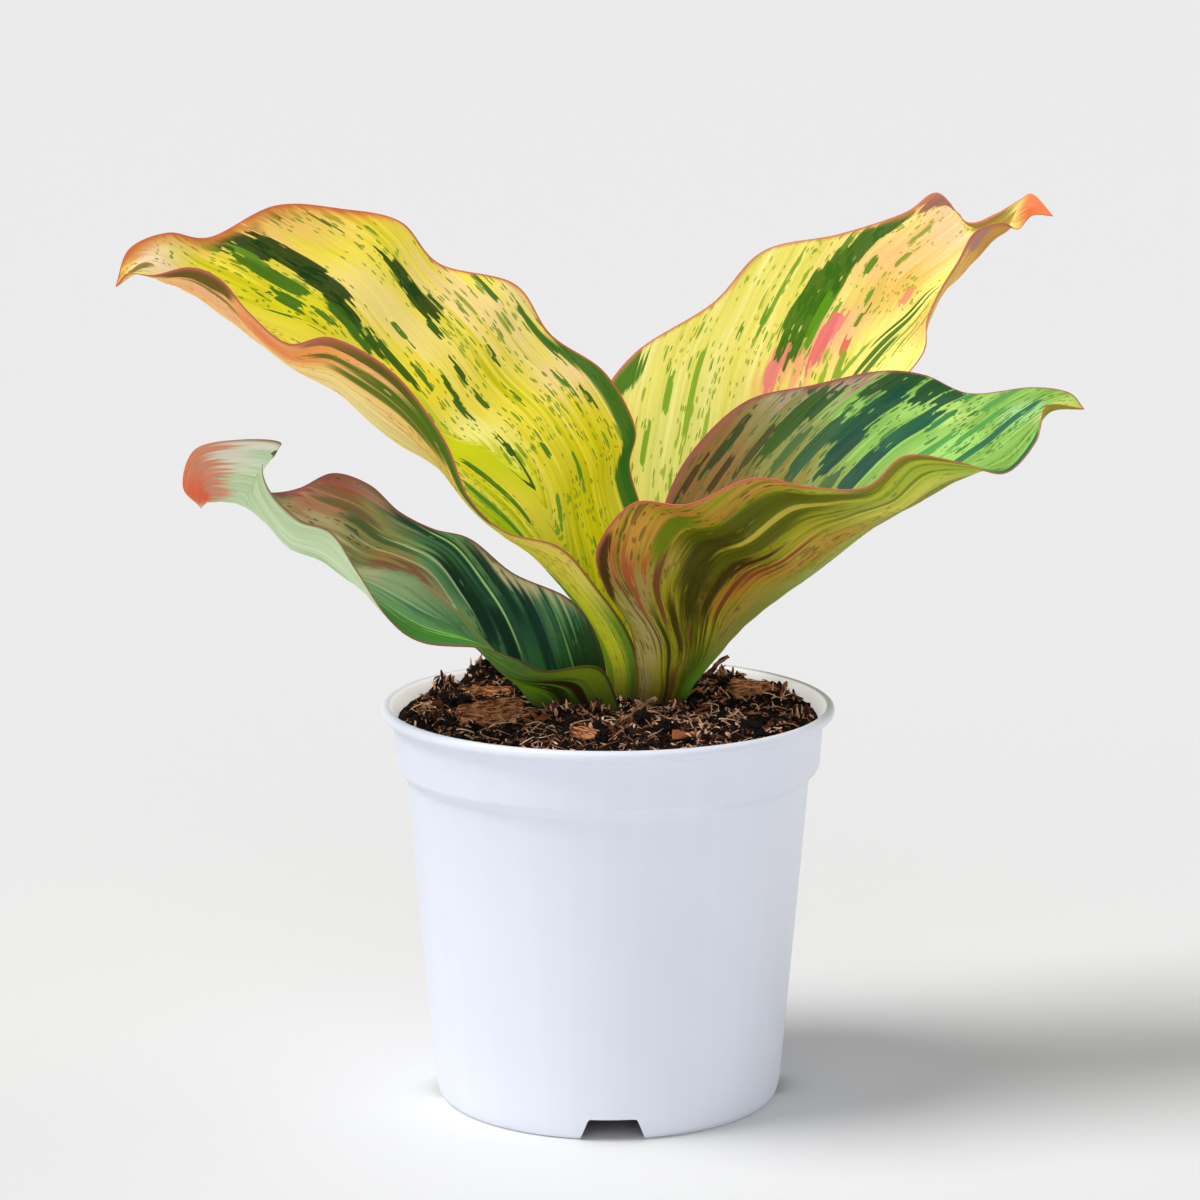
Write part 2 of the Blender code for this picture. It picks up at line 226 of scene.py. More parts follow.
def makeLights():
    for name, strength, softness, start in studio["lamps"]:
        lamp = bpy.data.lights.new(name, "SUN")
        lamp.energy, lamp.angle = strength, math.radians(softness)
        addObject(name, lamp).rotation_euler = Vector(start).to_track_quat("Z", "Y").to_euler()

    world = bpy.data.worlds.new("studio")
    tree = Tree(world)
    sky = tree.nodes["Background"]
    tree.feed(sky, {"Color": tint(studio["skyTone"]), "Strength": studio["skyStrength"]})
    # a plain tone shows behind the floor's far edge
    seen = tree.add("ShaderNodeBackground", None, {"Color": tint(studio["backdropTone"])})
    toCamera = tree.add("ShaderNodeLightPath", out="Is Camera Ray")
    choice = tree.add("ShaderNodeMixShader", None, [toCamera, Flow(tree, sky.outputs[0]), seen])
    tree.feed(tree.nodes["World Output"], {0: choice})
    bpy.context.scene.world = world
    bpy.context.scene.view_settings.view_transform = "Standard"


makeCamera()
makeLights()
print("camera and lights ready")


def makeFloor():
    finish = Finish("studio_floor", floor["gloss"])
    cloud = finish.noise(finish.place(), floor["cloudSize"])
    colour = finish.mixed(cloud * floor["cloudShow"], *floor["tones"])
    grain = finish.noise(finish.place(), floor["grainSize"])
    material = finish.done(colour, floor["rough"] + cloud * 0.1, grain, floor["bump"])
    bm = bmesh.new()
    bmesh.ops.create_grid(bm, x_segments=8, y_segments=8, size=floor["reach"])
    addPiece("studio_floor", bm, [material])


makeFloor()
print("floor ready")


# Leaves

# A blade is a sheet over three rails, in millimetres from base to tip: the edge nearer the
# front, the keel and the far edge, which all end in "tip". "turned" puts the upper face on the
# other side. The veins leave the midrib and bend towards the tip: "nearBend" and "farBend" say by
# what share of the half width, and by what share of the length.
# "rims" are the tints of the line along the near and the far edge, "baseRim" its tint at the foot
# and "rimEnd" the share of the length where it fades out.
# A face has a "base" of tints from its dark to its pale streaks, and marks of colour, which are
# ellipses. "nearDabs" and "farDabs" follow the veins on each side of the midrib: millimetres along,
# millimetres across, half length, half width, tint. They have fingered ends, or melt into the blade
# where "crisp" is False. "soft" and "edge" ones keep to the outline: share along, share across from
# -1 at the near edge to 1 at the far edge, half length, half width, tint. "margins" are (near -1 or
# far 1, from share, to share, reach in millimetres, tint, amount), and "flecks" (how many, dark
# tint, pale tint).

leafBuild = {
    "stepsAlong": 230,
    "stepsAcross": 72,
    "sink": 2.5,  # how far the base goes down into the mix
    "blade": 0.5,  # thickness of the blade, then of the stalk end and the midrib's ridge
    "stalk": 1.1,
    "midrib": 0.7,
    "ridge": 0.045,  # half width of that ridge, in half widths of the blade
    "pleat": 0.16,  # height of the lengthwise pleats
    "pleatWidth": 4.6,
    "swell": 0.8,  # height of the broad waves
    "tipWidth": 0.03,
    "veinStart": 0.05,  # share of the length where the veins start to bend
    "farGrain": 10,  # third number of the grain beyond the midrib, 0 on the near side
}
leafPaint = {
    "gloss": 0.1,
    "rough": 0.46,
    # drawn-out noise: length and width of a cell in millimetres, and a number to tell it apart
    "cloud": (55, 8, 1.0), "streak": (45, 1.3, 1.7), "hair": (22, 0.42, 2.3), "crowd": (18, 10, 3.1),
    "fingers": (13, 0.85, 3.3), "holes": (2.6, 0.7, 8.1),
    # the inner and outer edge of a dab, and how far fingers and streaks push its ends
    "crispDab": (0.88, 1.08, 4.5, 4), "softDab": (0.3, 1.5, 3, 12),
    "dabShow": 0.96,
    "dabCrowd": 0.06,  # how many more flecks stand round each dab
    # how far streaks push a mark along and across, its inner and outer edge, and how strong it is
    "softMark": (0.16, 0.5, 0.3, 1.15, 0.9), "edgeMark": (0.09, 0.03, 0.88, 1.06, 0.95),
    "marginFade": 0.04,
    "flecks": [(8, 1.6, 0.955), (4.2, 1, 0.91), (2.5, 0.8, 0.88)],  # length, width, how rare
    "fleckTurn": (5.7, 3.1), "fleckShow": 0.85,
    "veins": ("9c9c9c", "ffffff"), "veinShow": 0.22,
    "rimLine": (0.52, 0.2), "rimFade": 0.12, "rimShow": 0.85,
    "baseRimFrom": (0.34, 0.12),  # where the rim turns to its tint at the foot, as a share of the length
    "footDampAndShadeTone": "100c04", "footDampAndShadeShow": 0.8, "footReach": 0.11,  # painted shade and damp at the foot of the blade
    "bump": (0.35, 0.25),  # strength, and depth in millimetres
}

leafLeftUpper = {
    "near": [
        (8.5, 8, 112), (9, 6, 124), (5.5, 4, 135), (-2.5, 1.5, 147), (-13.5, -4, 160.5), (-29, -12, 166.5),
        (-39, -16, 177), (-45.5, -19, 193.5), (-59, -20, 212), (-76, -20, 222), (-88.5, -20, 220.5),
        (-99, -20, 229), (-106.5, -20, 238), (-115, -20, 241.5), (-125, -21, 239.5), (-132, -22, 240),
    ],
    "keel": [
        (3, 13, 112), (0, 12, 126), (-6.5, 10, 140), (-16, 8, 154.5), (-25.5, 7, 170), (-39.5, 6, 182.5),
        (-54, 4, 189.5), (-70.5, 2, 204.5), (-86.5, -1, 218), (-101.5, -5, 226), (-116, -10, 234.5),
        (-127, -16, 241.5),
    ],
    "far": [
        (12, 18, 112), (13, 21, 124), (14, 24, 136), (13, 27, 147), (10.5, 30, 163.5), (6.5, 33, 178),
        (8, 35, 189.5), (-1, 36, 205.5), (-16.5, 35, 216.5), (-27, 33, 231.5), (-48.5, 31, 237.5),
        (-59.5, 27, 250), (-76, 23, 254), (-94.5, 16, 255.5), (-112, 6, 247.5), (-123, -3, 249.5),
        (-132.5, -14, 246),
    ],
    "tip": (-135.5, -22, 236.5), "turned": True, "length": 205, "halfWidth": 50, "midrib": 0.15,
    "nearBend": (0, 0.8), "farBend": (1, 0.8), "seed": 3, "paintedGlow": 0.29, "rims": ["b4604e", "c06444"],
    "baseRim": "4a3014", "rimEnd": 1.5,
    "top": {
        "crisp": True, "flecks": (0.03, "3a6a14", "86a22c"),
        "base": [(0.3, "b8c008"), (0.42, "d8cc1c"), (0.5, "ead844"), (0.6, "f2dc5c"), (0.72, "f9e484")],
        "soft": [
            (0.458, 0.2, 0.16, 0.28, "c4ca10"), (0.718, 0.4, 0.14, 0.28, "d8ce20"),
            (0.78, 0.9, 0.11, 0.2, "edc26a"), (0.917, 0.3, 0.07, 1.2, "f6dcb4"),
            (0.618, 0.6, 0.12, 0.16, "f5de88"), (0.425, 0.88, 0.05, 0.14, "f6d4a0"),
            (0.935, 0.8, 0.06, 0.4, "c88440"), (0.955, -0.21, 0.035, 0.5, "9a7a34"),
            (0.86, -0.1, 0.05, 0.5, "f6dcb0"), (0.16, 0.3, 0.17, 1, "b4b400"),
            (0.3, -0.35, 0.12, 0.35, "98b400"), (0.3, 0.6, 0.13, 0.22, "d4c800"),
            (0.36, 0.85, 0.08, 0.16, "e8d428"), (0.46, 0.36, 0.08, 0.14, "f4e886"),
            (0.54, 0.42, 0.07, 0.14, "f2dc38"), (0.8, 0.98, 0.06, 0.12, "b88444"),
            (0.52, 0.92, 0.06, 0.12, "f8e68c"), (0.55, 0.88, 0.09, 0.12, "f3d48c"),
        ],
        "farDabs": [
            (170, -38.4, 6.5, 1.5, "2a4c24"), (161.5, -34.7, 7.5, 2.5, "1d3c18"),
            (151, -32.1, 9, 3, "1b3a12"), (141, -33.3, 8, 2.8, "1b3a12"), (133, -35.5, 6, 1.8, "1d3e12"),
            (125, -36, 5, 0.85, "285016"), (127, -14.2, 5, 2, "1f4212"), (121.5, -14.8, 5, 2.5, "1f4212"),
            (117, -17.6, 2.2, 1.1, "2a5414"), (132, -15.2, 1.8, 0.77, "2a5414"),
            (120, -11.4, 2.2, 0.59, "2a5414"), (152.5, -39.4, 9, 2, "3f701c"),
            (146.6, -43.6, 4.6, 1.7, "3d6e1c"), (160, -37.4, 4.3, 1.02, "5f8a24"),
            (130, -38, 8, 1.5, "35661a"), (119, -34.2, 7, 1.4, "2c5816"), (137, -41.6, 2.9, 0.85, "4d7a1e"),
            (107.4, -25.9, 3.3, 0.94, "2f5e18"), (107.3, -20.4, 2.6, 1.02, "285416"),
            (102, -27, 4.3, 0.94, "35641a"), (98.4, -20.5, 3.7, 0.85, "39681a"),
            (103, -8.9, 1.7, 1.02, "39681a"), (84, -25.6, 2.2, 1.02, "2c5816"),
            (76, -25.2, 10, 0.35, "2c5816"), (98, 6.3, 5.8, 0.94, "3d7020"),
            (110.4, 2.5, 3, 0.85, "3d6c1a"), (87.4, 1.7, 2.9, 0.77, "4d7a1c"),
            (83.5, 4.8, 2.2, 0.94, "39681a"), (80, -16, 2.2, 0.85, "4d7a1c"),
            (62, -19, 4.3, 0.68, "6a9420"), (113, -30.6, 2.9, 0.85, "47761c"),
            (170, -39.5, 3.6, 0.94, "5f8a24"), (92, -12, 2.2, 0.68, "5a8420"),
            (121, -26.5, 2.2, 0.77, "4d7a1c"), (158, -22.5, 4.3, 0.59, "4d6a1c"),
            (147, -17, 2.9, 0.51, "55701c"), (70, -9, 3.6, 0.77, "5a8a20"),
        ],
        "nearDabs": [(75, 7.3, 14, 1.2, "47761c"), (70, 20.5, 12, 2.3, "4a8220")],
        "edge": [
            (0.345, 1, 0.13, 0.085, "2f661c"), (0.26, 1, 0.1, 0.12, "356c1c"),
            (0.055, 0.45, 0.08, 0.22, "37701a"), (0.955, 0.05, 0.05, 0.22, "86702c"),
        ],
        "margins": [
            (1, 0.66, 0.97, 4.2, "e09040", 0.65), (1, 0.66, 0.97, 1.7, "c8683c", 0.85),
            (1, 0.48, 0.66, 1, "d8845c", 0.7), (1, 0.05, 0.48, 0.7, "7a5a30", 0.6),
            (-1, 0.3, 0.88, 1.1, "cc8070", 0.8),
        ],
    },
    "under": {
        "crisp": False, "flecks": (-0.03, "8a5a24", "c89050"),
        "base": [(0.34, "e6a452"), (0.48, "f2bc72"), (0.6, "f6d27c"), (0.75, "f8dc98")],
        "soft": [
            (0.3, -0.3, 0.22, 0.9, "e0dc38"), (0.1, -0.3, 0.17, 1.2, "bcc810"),
            (0.66, -0.85, 0.09, 0.12, "e07848"), (0.59, -0.9, 0.06, 0.12, "f09850"),
            (0.775, -0.66, 0.1, 0.22, "ecae80"), (0.7, -0.3, 0.14, 0.14, "e6c888"),
            (0.537, -0.52, 0.12, 0.2, "f2de92"), (0.5, -0.3, 0.1, 0.12, "e4d860"),
        ],
        "farDabs": [],
        "nearDabs": [
            (103, 47.5, 15, 1.3, "54701a"), (98, 50.5, 13, 1.9, "4d6a18"), (90, 53, 12, 2, "4a7018"),
            (116, 51, 8, 0.8, "5c6a20"), (158, 47, 12, 1, "8a7430"),
        ],
        "edge": [
            (0.515, -1, 0.1, 0.075, "4f5214"), (0.8, -0.99, 0.085, 0.17, "5a4c16"),
            (0.4, -1, 0.08, 0.12, "467018"), (0.225, -0.36, 0.14, 0.1, "4f8a1c"),
            (0.42, -0.16, 0.12, 0.03, "6a9a28"), (0.1, -0.3, 0.1, 0.2, "7aa020"),
        ],
        "margins": [
            (-1, 0.3, 0.97, 1, "a85c48", 0.8), (-1, 0.55, 0.72, 3, "d8785c", 0.5),
            (-1, -0.1, 0.17, 4, "3c7a1e", 0.85),
        ],
    },
}

leafRightUpper = {
    "near": [
        (21, 17, 112), (31, 20, 129), (44, 24, 147), (57, 28, 165), (71, 32, 183), (83, 36, 199.5),
        (92, 38, 211), (93, 40, 220), (97, 42, 229), (102, 43, 237), (106, 46, 244), (110, 46, 247),
        (116, 47, 248), (120, 47, 246), (124, 47, 250),
    ],
    "keel": [
        (19, 24, 112), (23, 32, 127), (30, 40, 145), (39, 47, 164), (51, 52, 183), (62, 56, 199),
        (74, 58, 212), (85, 59, 221), (93, 58, 228), (102, 57, 233), (108, 55, 238), (112.5, 53, 242.5),
        (117, 51, 246), (120, 50, 251), (125, 48, 253),
    ],
    "far": [
        (12, 25, 112), (9, 28, 127), (3, 31, 151), (-1, 34, 174), (-2.5, 37, 194.5), (8, 40, 210.5),
        (30.5, 44, 224.5), (45.5, 48, 239.5), (67.5, 52, 244), (87, 55, 250), (97, 56, 256),
        (105.5, 55, 247.5), (114, 54, 250), (120.5, 53, 254), (124.5, 50, 256),
    ],
    "tip": (130, 45, 250), "turned": False, "length": 195, "halfWidth": 55, "midrib": -0.2,
    "nearBend": (0, 0.6), "farBend": (1, 0.57), "seed": 11, "paintedGlow": 0.44, "rims": ["a86450", "c87a5c"],
    "baseRim": "5a6a24", "rimEnd": 1.5,
    "top": {
        "crisp": True, "flecks": (0, "5f8a1c", "9cb43a"),
        "base": [(0.32, "dcdc4c"), (0.46, "f2e474"), (0.58, "faee92"), (0.72, "fff4aa")],
        "soft": [
            (0.57, 0.5, 0.12, 0.55, "f8c68c"), (0.66, 0.62, 0.07, 0.5, "fcc8a4"),
            (0.5, 0.18, 0.1, 0.28, "eac268"), (0.39, 0.22, 0.07, 0.26, "f8c090"),
            (0.47, -0.65, 0.09, 0.4, "e2b664"), (0.2, 0.5, 0.14, 0.5, "dede78"),
            (0.35, 0.28, 0.06, 0.16, "fab080"), (0.945, 0, 0.11, 2.5, "dc5a38"),
            (0.79, 0.85, 0.09, 0.55, "8d7a30"), (0.8, -0.2, 0.07, 0.5, "c79a58"),
        ],
        "farDabs": [
            (73, -15.8, 4, 3.4, "3f6c16"), (80, -15.8, 6.5, 5, "44741a"), (88, -16.8, 7, 5.2, "3f6e18"),
            (96, -18, 6, 3.7, "3a6a1a"), (105, -19.7, 7, 2.8, "3a6820"), (114.5, -21.4, 6, 1.9, "386626"),
            (82, -20.4, 8, 1.6, "5c961e"), (84, -24, 4.3, 0.77, "7aa028"),
            (103, -15.6, 3.2, 0.85, "5f8a26"), (86, -5.6, 9, 0.7, "84a82c"),
            (78, -4.7, 2.9, 1.02, "6a9a28"), (76, -24.6, 7, 1.9, "e8747a"), (81, -27, 3.6, 1.1, "ee8a84"),
            (65.6, -13.6, 5, 2, "ee8a84"), (70, -15.5, 2.9, 0.85, "ee8c80"),
            (77, -31.5, 2.9, 1.02, "e06c60"), (98, -40.3, 4.3, 1.02, "f09478"),
            (71, -32.2, 5, 0.94, "86a82c"), (101, -26, 3.3, 0.94, "5f8a24"),
            (86, -31.7, 2.3, 0.77, "6a8a28"), (58, 9, 10, 1, "8cb032"), (57.5, 16.1, 5, 1.02, "7ea62c"),
            (47.2, 20.5, 3.3, 0.94, "7ea62c"), (93, -30.5, 2.9, 0.59, "7a9a30"),
            (66, -28.5, 4.3, 0.85, "a0b43c"), (109, -32, 3.6, 0.68, "8a9a40"), (50, 3, 5.8, 0.77, "9cba40"),
            (118, -29.5, 3.6, 0.51, "94a04c"), (74, 0.5, 2.2, 0.68, "6a9628"),
        ],
        "nearDabs": [(97, 19, 7, 0.7, "5c7a30"), (84, 14, 7, 0.8, "4d7a2a")],
        "edge": [
            (0.305, 1, 0.035, 0.1, "3f7a20"), (0.67, 0.98, 0.05, 0.12, "96625a"),
            (0.475, -0.17, 0.085, 0.02, "3a6a20"), (0.42, -0.24, 0.085, 0.03, "3f6e20"),
            (0.515, -0.25, 0.05, 0.014, "4d7a2a"), (0.375, -0.31, 0.06, 0.03, "44742a"),
            (0.455, -0.36, 0.06, 0.014, "5c8638"), (0.45, -0.52, 0.05, 0.018, "4d7a2a"),
            (0.5, -0.62, 0.04, 0.014, "5c7a3c"), (0.36, -0.12, 0.05, 0.02, "8cae3c"),
            (0.77, 1, 0.07, 0.22, "8a6a34"), (0.8, 0.3, 0.06, 0.3, "9a7a34"),
        ],
        "margins": [(1, 0.1, 0.66, 1.5, "dc8c60", 0.7), (-1, 0.35, 0.75, 1.5, "c87850", 0.7)],
    },
    "under": {
        "crisp": True, "flecks": (-0.02, "7a6a2c", "a8843c"),
        "base": [(0.36, "b08036"), (0.5, "c8984c"), (0.66, "dcb870")],
        "soft": [
            (0.15, 0, 0.18, 1.4, "a9b03a"), (0.75, -0.2, 0.12, 1, "b98a44"), (0.95, 0, 0.1, 2.5, "dc6a44"),
            (0.7, -0.95, 0.07, 0.3, "a07268"), (0.76, 0.5, 0.06, 0.8, "8d661f"),
        ],
        "farDabs": [(88, -17.6, 16, 5, "64742c"), (106, -20, 15, 2.8, "64742c"), (60, -6, 18, 2, "8a9a38")],
        "nearDabs": [(90, 14, 20, 1.6, "6a7a30")],
        "edge": [(0.7, -0.98, 0.06, 0.25, "a87a70")],
        "margins": [(-1, 0.2, 0.95, 1.4, "b06a50", 0.8), (1, 0.2, 0.95, 1.4, "b06a50", 0.8)],
    },
}

leafRightLower = {
    "near": [
        (7, 2, 112), (8, 0, 126), (6, -4, 138), (-1, -9, 150), (-3, -17, 163), (7, -27, 177),
        (22, -35, 178), (39, -40, 186), (55, -43, 184), (70, -43, 184), (81, -39, 192), (97, -32, 189),
        (110, -22, 184.5), (120, -9, 191.5), (124, 2, 200),
    ],
    "keel": [
        (19.5, 6, 112), (23.5, 4, 120), (31.2, 2, 129), (39, 0, 138), (49, -3, 147), (60, -5, 156),
        (72, -6, 166), (84, -6, 175), (96.5, -5, 181), (108, -2, 186.5), (116.5, 3, 192), (126, 8, 198),
    ],
    "far": [
        (11, 10, 112), (12, 15, 124), (12, 20, 138), (14, 25, 152), (16, 29, 166), (24, 32, 182),
        (40, 34, 197), (60, 34, 202), (79, 34, 206), (92, 33, 205), (105, 30, 200), (122, 24, 202.5),
        (132, 17, 202),
    ],
    "tip": (136, 12, 198), "turned": False, "length": 151, "halfWidth": 60, "midrib": -0.1,
    "nearBend": (0.6, 0.8), "farBend": (0.9, 0.85), "seed": 23, "paintedGlow": 0.13, "rims": ["c8664c", "a05048"],
    "baseRim": "8a5a3c", "rimEnd": 1.5,
    "top": {
        "crisp": True, "flecks": (0.03, "2c4c24", "4f7c38"),
        "base": [(0.3, "5f8e38"), (0.44, "82b04c"), (0.58, "98c862"), (0.74, "b4d884")],
        "soft": [
            (0.318, 0.88, 0.16, 0.5, "7d4a20"), (0.425, 0.93, 0.11, 0.22, "94663a"),
            (0.3, 0.3, 0.26, 0.7, "8a7a3c"), (0.48, 0.8, 0.07, 0.26, "8c8a4c"),
            (0.47, 0.6, 0.07, 0.26, "94a050"), (0.55, 0.97, 0.09, 0.08, "b08c80"),
            (0.953, 0.3, 0.07, 0.9, "c9d868"), (0.685, 0.38, 0.1, 0.2, "aade76"),
            (0.12, 0, 0.14, 1.2, "8a7a40"), (0.71, 0.74, 0.06, 0.16, "c4e478"),
            (0.65, 0.74, 0.06, 0.12, "a4d068"), (0.84, 0.5, 0.06, 0.3, "a8d890"),
            (0.45, 0.68, 0.05, 0.12, "947c38"), (0.91, -0.1, 0.04, 0.5, "dce09c"),
            (0.6, 0.98, 0.04, 0.06, "a87c74"),
        ],
        "farDabs": [
            (106.5, -5.6, 9, 3, "1d4a2c"), (99, 1.6, 8, 3, "1f4a28"), (109, -11, 7, 2, "24543a"),
            (93, 5.2, 7, 1.6, "2a4c24"), (88, -0.8, 11, 2.7, "1c4e3a"), (80, -3.6, 7, 2.2, "1d4a3a"),
            (74, 13.8, 9, 2.2, "3a5c22"), (81, 11.5, 5, 1.6, "2f5224"), (63.5, 24.2, 6, 1.3, "3a4420"),
            (75.5, 3.3, 8, 2, "315a3a"), (70, 8.5, 6, 1.2, "4a6a38"), (92, -13.4, 12, 2.6, "1f5a44"),
            (81, -13.4, 7, 2.9, "1d4c3c"), (117, -36.8, 17, 1.5, "2c6a50"), (101, -37.4, 10, 1.2, "3a7a50"),
            (113, -28, 11, 1.1, "58a050"), (97, -24, 9, 1.1, "5aa050"), (72, -8, 5, 1.4, "4a6a3c"),
            (124, -22.5, 9, 1, "5a9a50"), (88, -31, 8, 1.5, "357048"), (104, -17, 6, 1, "3c8050"),
            (66, 16.5, 5, 1.1, "4a4a24"), (58.5, 20.5, 5, 1, "4c3c1c"), (54, 27, 5, 0.9, "4c341a"),
            (119, -14, 8, 1, "4a9450"), (62, 3, 6, 1, "5a6034"), (84, 17, 4, 1, "3a4c24"),
        ],
        "nearDabs": [(112, 8, 10, 1.4, "4a8a50"), (92, 8, 10, 1.4, "3a7a48"), (70, 12, 10, 1.4, "4a6a38")],
        "edge": [(0.835, -0.86, 0.05, 0.12, "2c6a52"), (0.8, -1, 0.05, 0.1, "2c6a52")],
        "margins": [
            (1, 0.15, 0.62, 1.6, "9c5a54", 0.8), (1, 0.62, 0.95, 0.9, "b07060", 0.7),
            (-1, 0.3, 0.95, 1, "c07860", 0.6),
        ],
    },
    "under": {
        "crisp": False, "flecks": (0.02, "5c4a18", "8a6a30"),
        "base": [(0.32, "727612"), (0.46, "8c8e18"), (0.6, "a8a028"), (0.75, "b8a840")],
        "soft": [
            (0.5, 0.3, 0.6, 0.6, "7f9a3c"), (0.6, -0.84, 0.22, 0.16, "b0b830"),
            (0.72, -0.66, 0.15, 0.3, "a8c838"), (0.62, -0.58, 0.12, 0.12, "d0cc50"),
            (0.48, -0.82, 0.1, 0.1, "646e0a"), (0.4, -0.76, 0.16, 0.12, "5c6208"),
            (0.27, -0.57, 0.17, 0.09, "4a4610"), (0.22, -0.1, 0.16, 0.22, "8a8a3c"),
            (0.49, -1, 0.1, 0.05, "d48c48"), (0.42, -0.92, 0.07, 0.05, "a48420"),
            (0.36, -0.98, 0.06, 0.05, "c8803c"), (0.29, -0.92, 0.08, 0.08, "d89a40"),
            (0.24, -0.8, 0.06, 0.06, "b08c4c"), (0.3, -0.82, 0.06, 0.05, "9c8c1c"),
            (0.25, -0.94, 0.06, 0.05, "b06c30"), (0.13, -0.86, 0.17, 0.13, "bca868"),
            (0.28, -0.76, 0.06, 0.05, "b09848"), (0.245, -0.87, 0.05, 0.04, "c45a2c"),
            (0.1, -0.34, 0.12, 0.16, "3c5c14"), (0.05, -0.12, 0.14, 0.16, "4a8a20"),
            (0.04, -0.55, 0.09, 0.1, "5c3418"), (0.4, -0.42, 0.16, 0.09, "c0883c"),
            (0.33, -0.44, 0.12, 0.06, "b06c28"), (0.47, -0.5, 0.1, 0.07, "c89c40"),
            (0.3, -0.26, 0.12, 0.08, "a88c40"), (0.19, -0.46, 0.08, 0.06, "4c3c14"),
        ],
        "farDabs": [],
        "nearDabs": [
            (80, 18.4, 13, 2.4, "626a0e"), (66, 19.4, 12, 2.6, "58600a"), (58, 20.6, 11, 2.6, "545808"),
            (50, 17.6, 12, 2.6, "464410"), (42, 14.4, 10, 2.4, "42400c"), (60, 12, 14, 1.8, "565a0c"),
            (46, 8.6, 12, 1.6, "40380c"), (56, 6.8, 10, 0.8, "4c2c10"), (58, 1.6, 12, 1, "8a4a22"),
            (44, 3.6, 10, 1, "7c4420"), (50.5, 26.6, 7, 1.8, "6c7e14"), (70, 15.2, 15, 0.9, "bfae42"),
            (100, 12, 16, 1.2, "8a9a22"), (15, 28.6, 16, 1.5, "3e4016"), (28, 21, 10, 1.6, "463c12"),
            (15, 33.6, 14, 0.5, "5a4c24"), (26, 37, 10, 0.6, "7a5a34"), (36, 25, 9, 1.1, "7a4a2a"),
            (90, 5, 17, 0.9, "7c8428"), (33, 33, 8, 0.9, "b8603c"),
        ],
        "edge": [(0.235, -0.985, 0.06, 0.035, "4f361a"), (0.66, -1, 0.09, 0.07, "7c7a1c")],
        "margins": [(-1, 0.25, 0.95, 1, "cc7c60", 0.8)],
    },
}

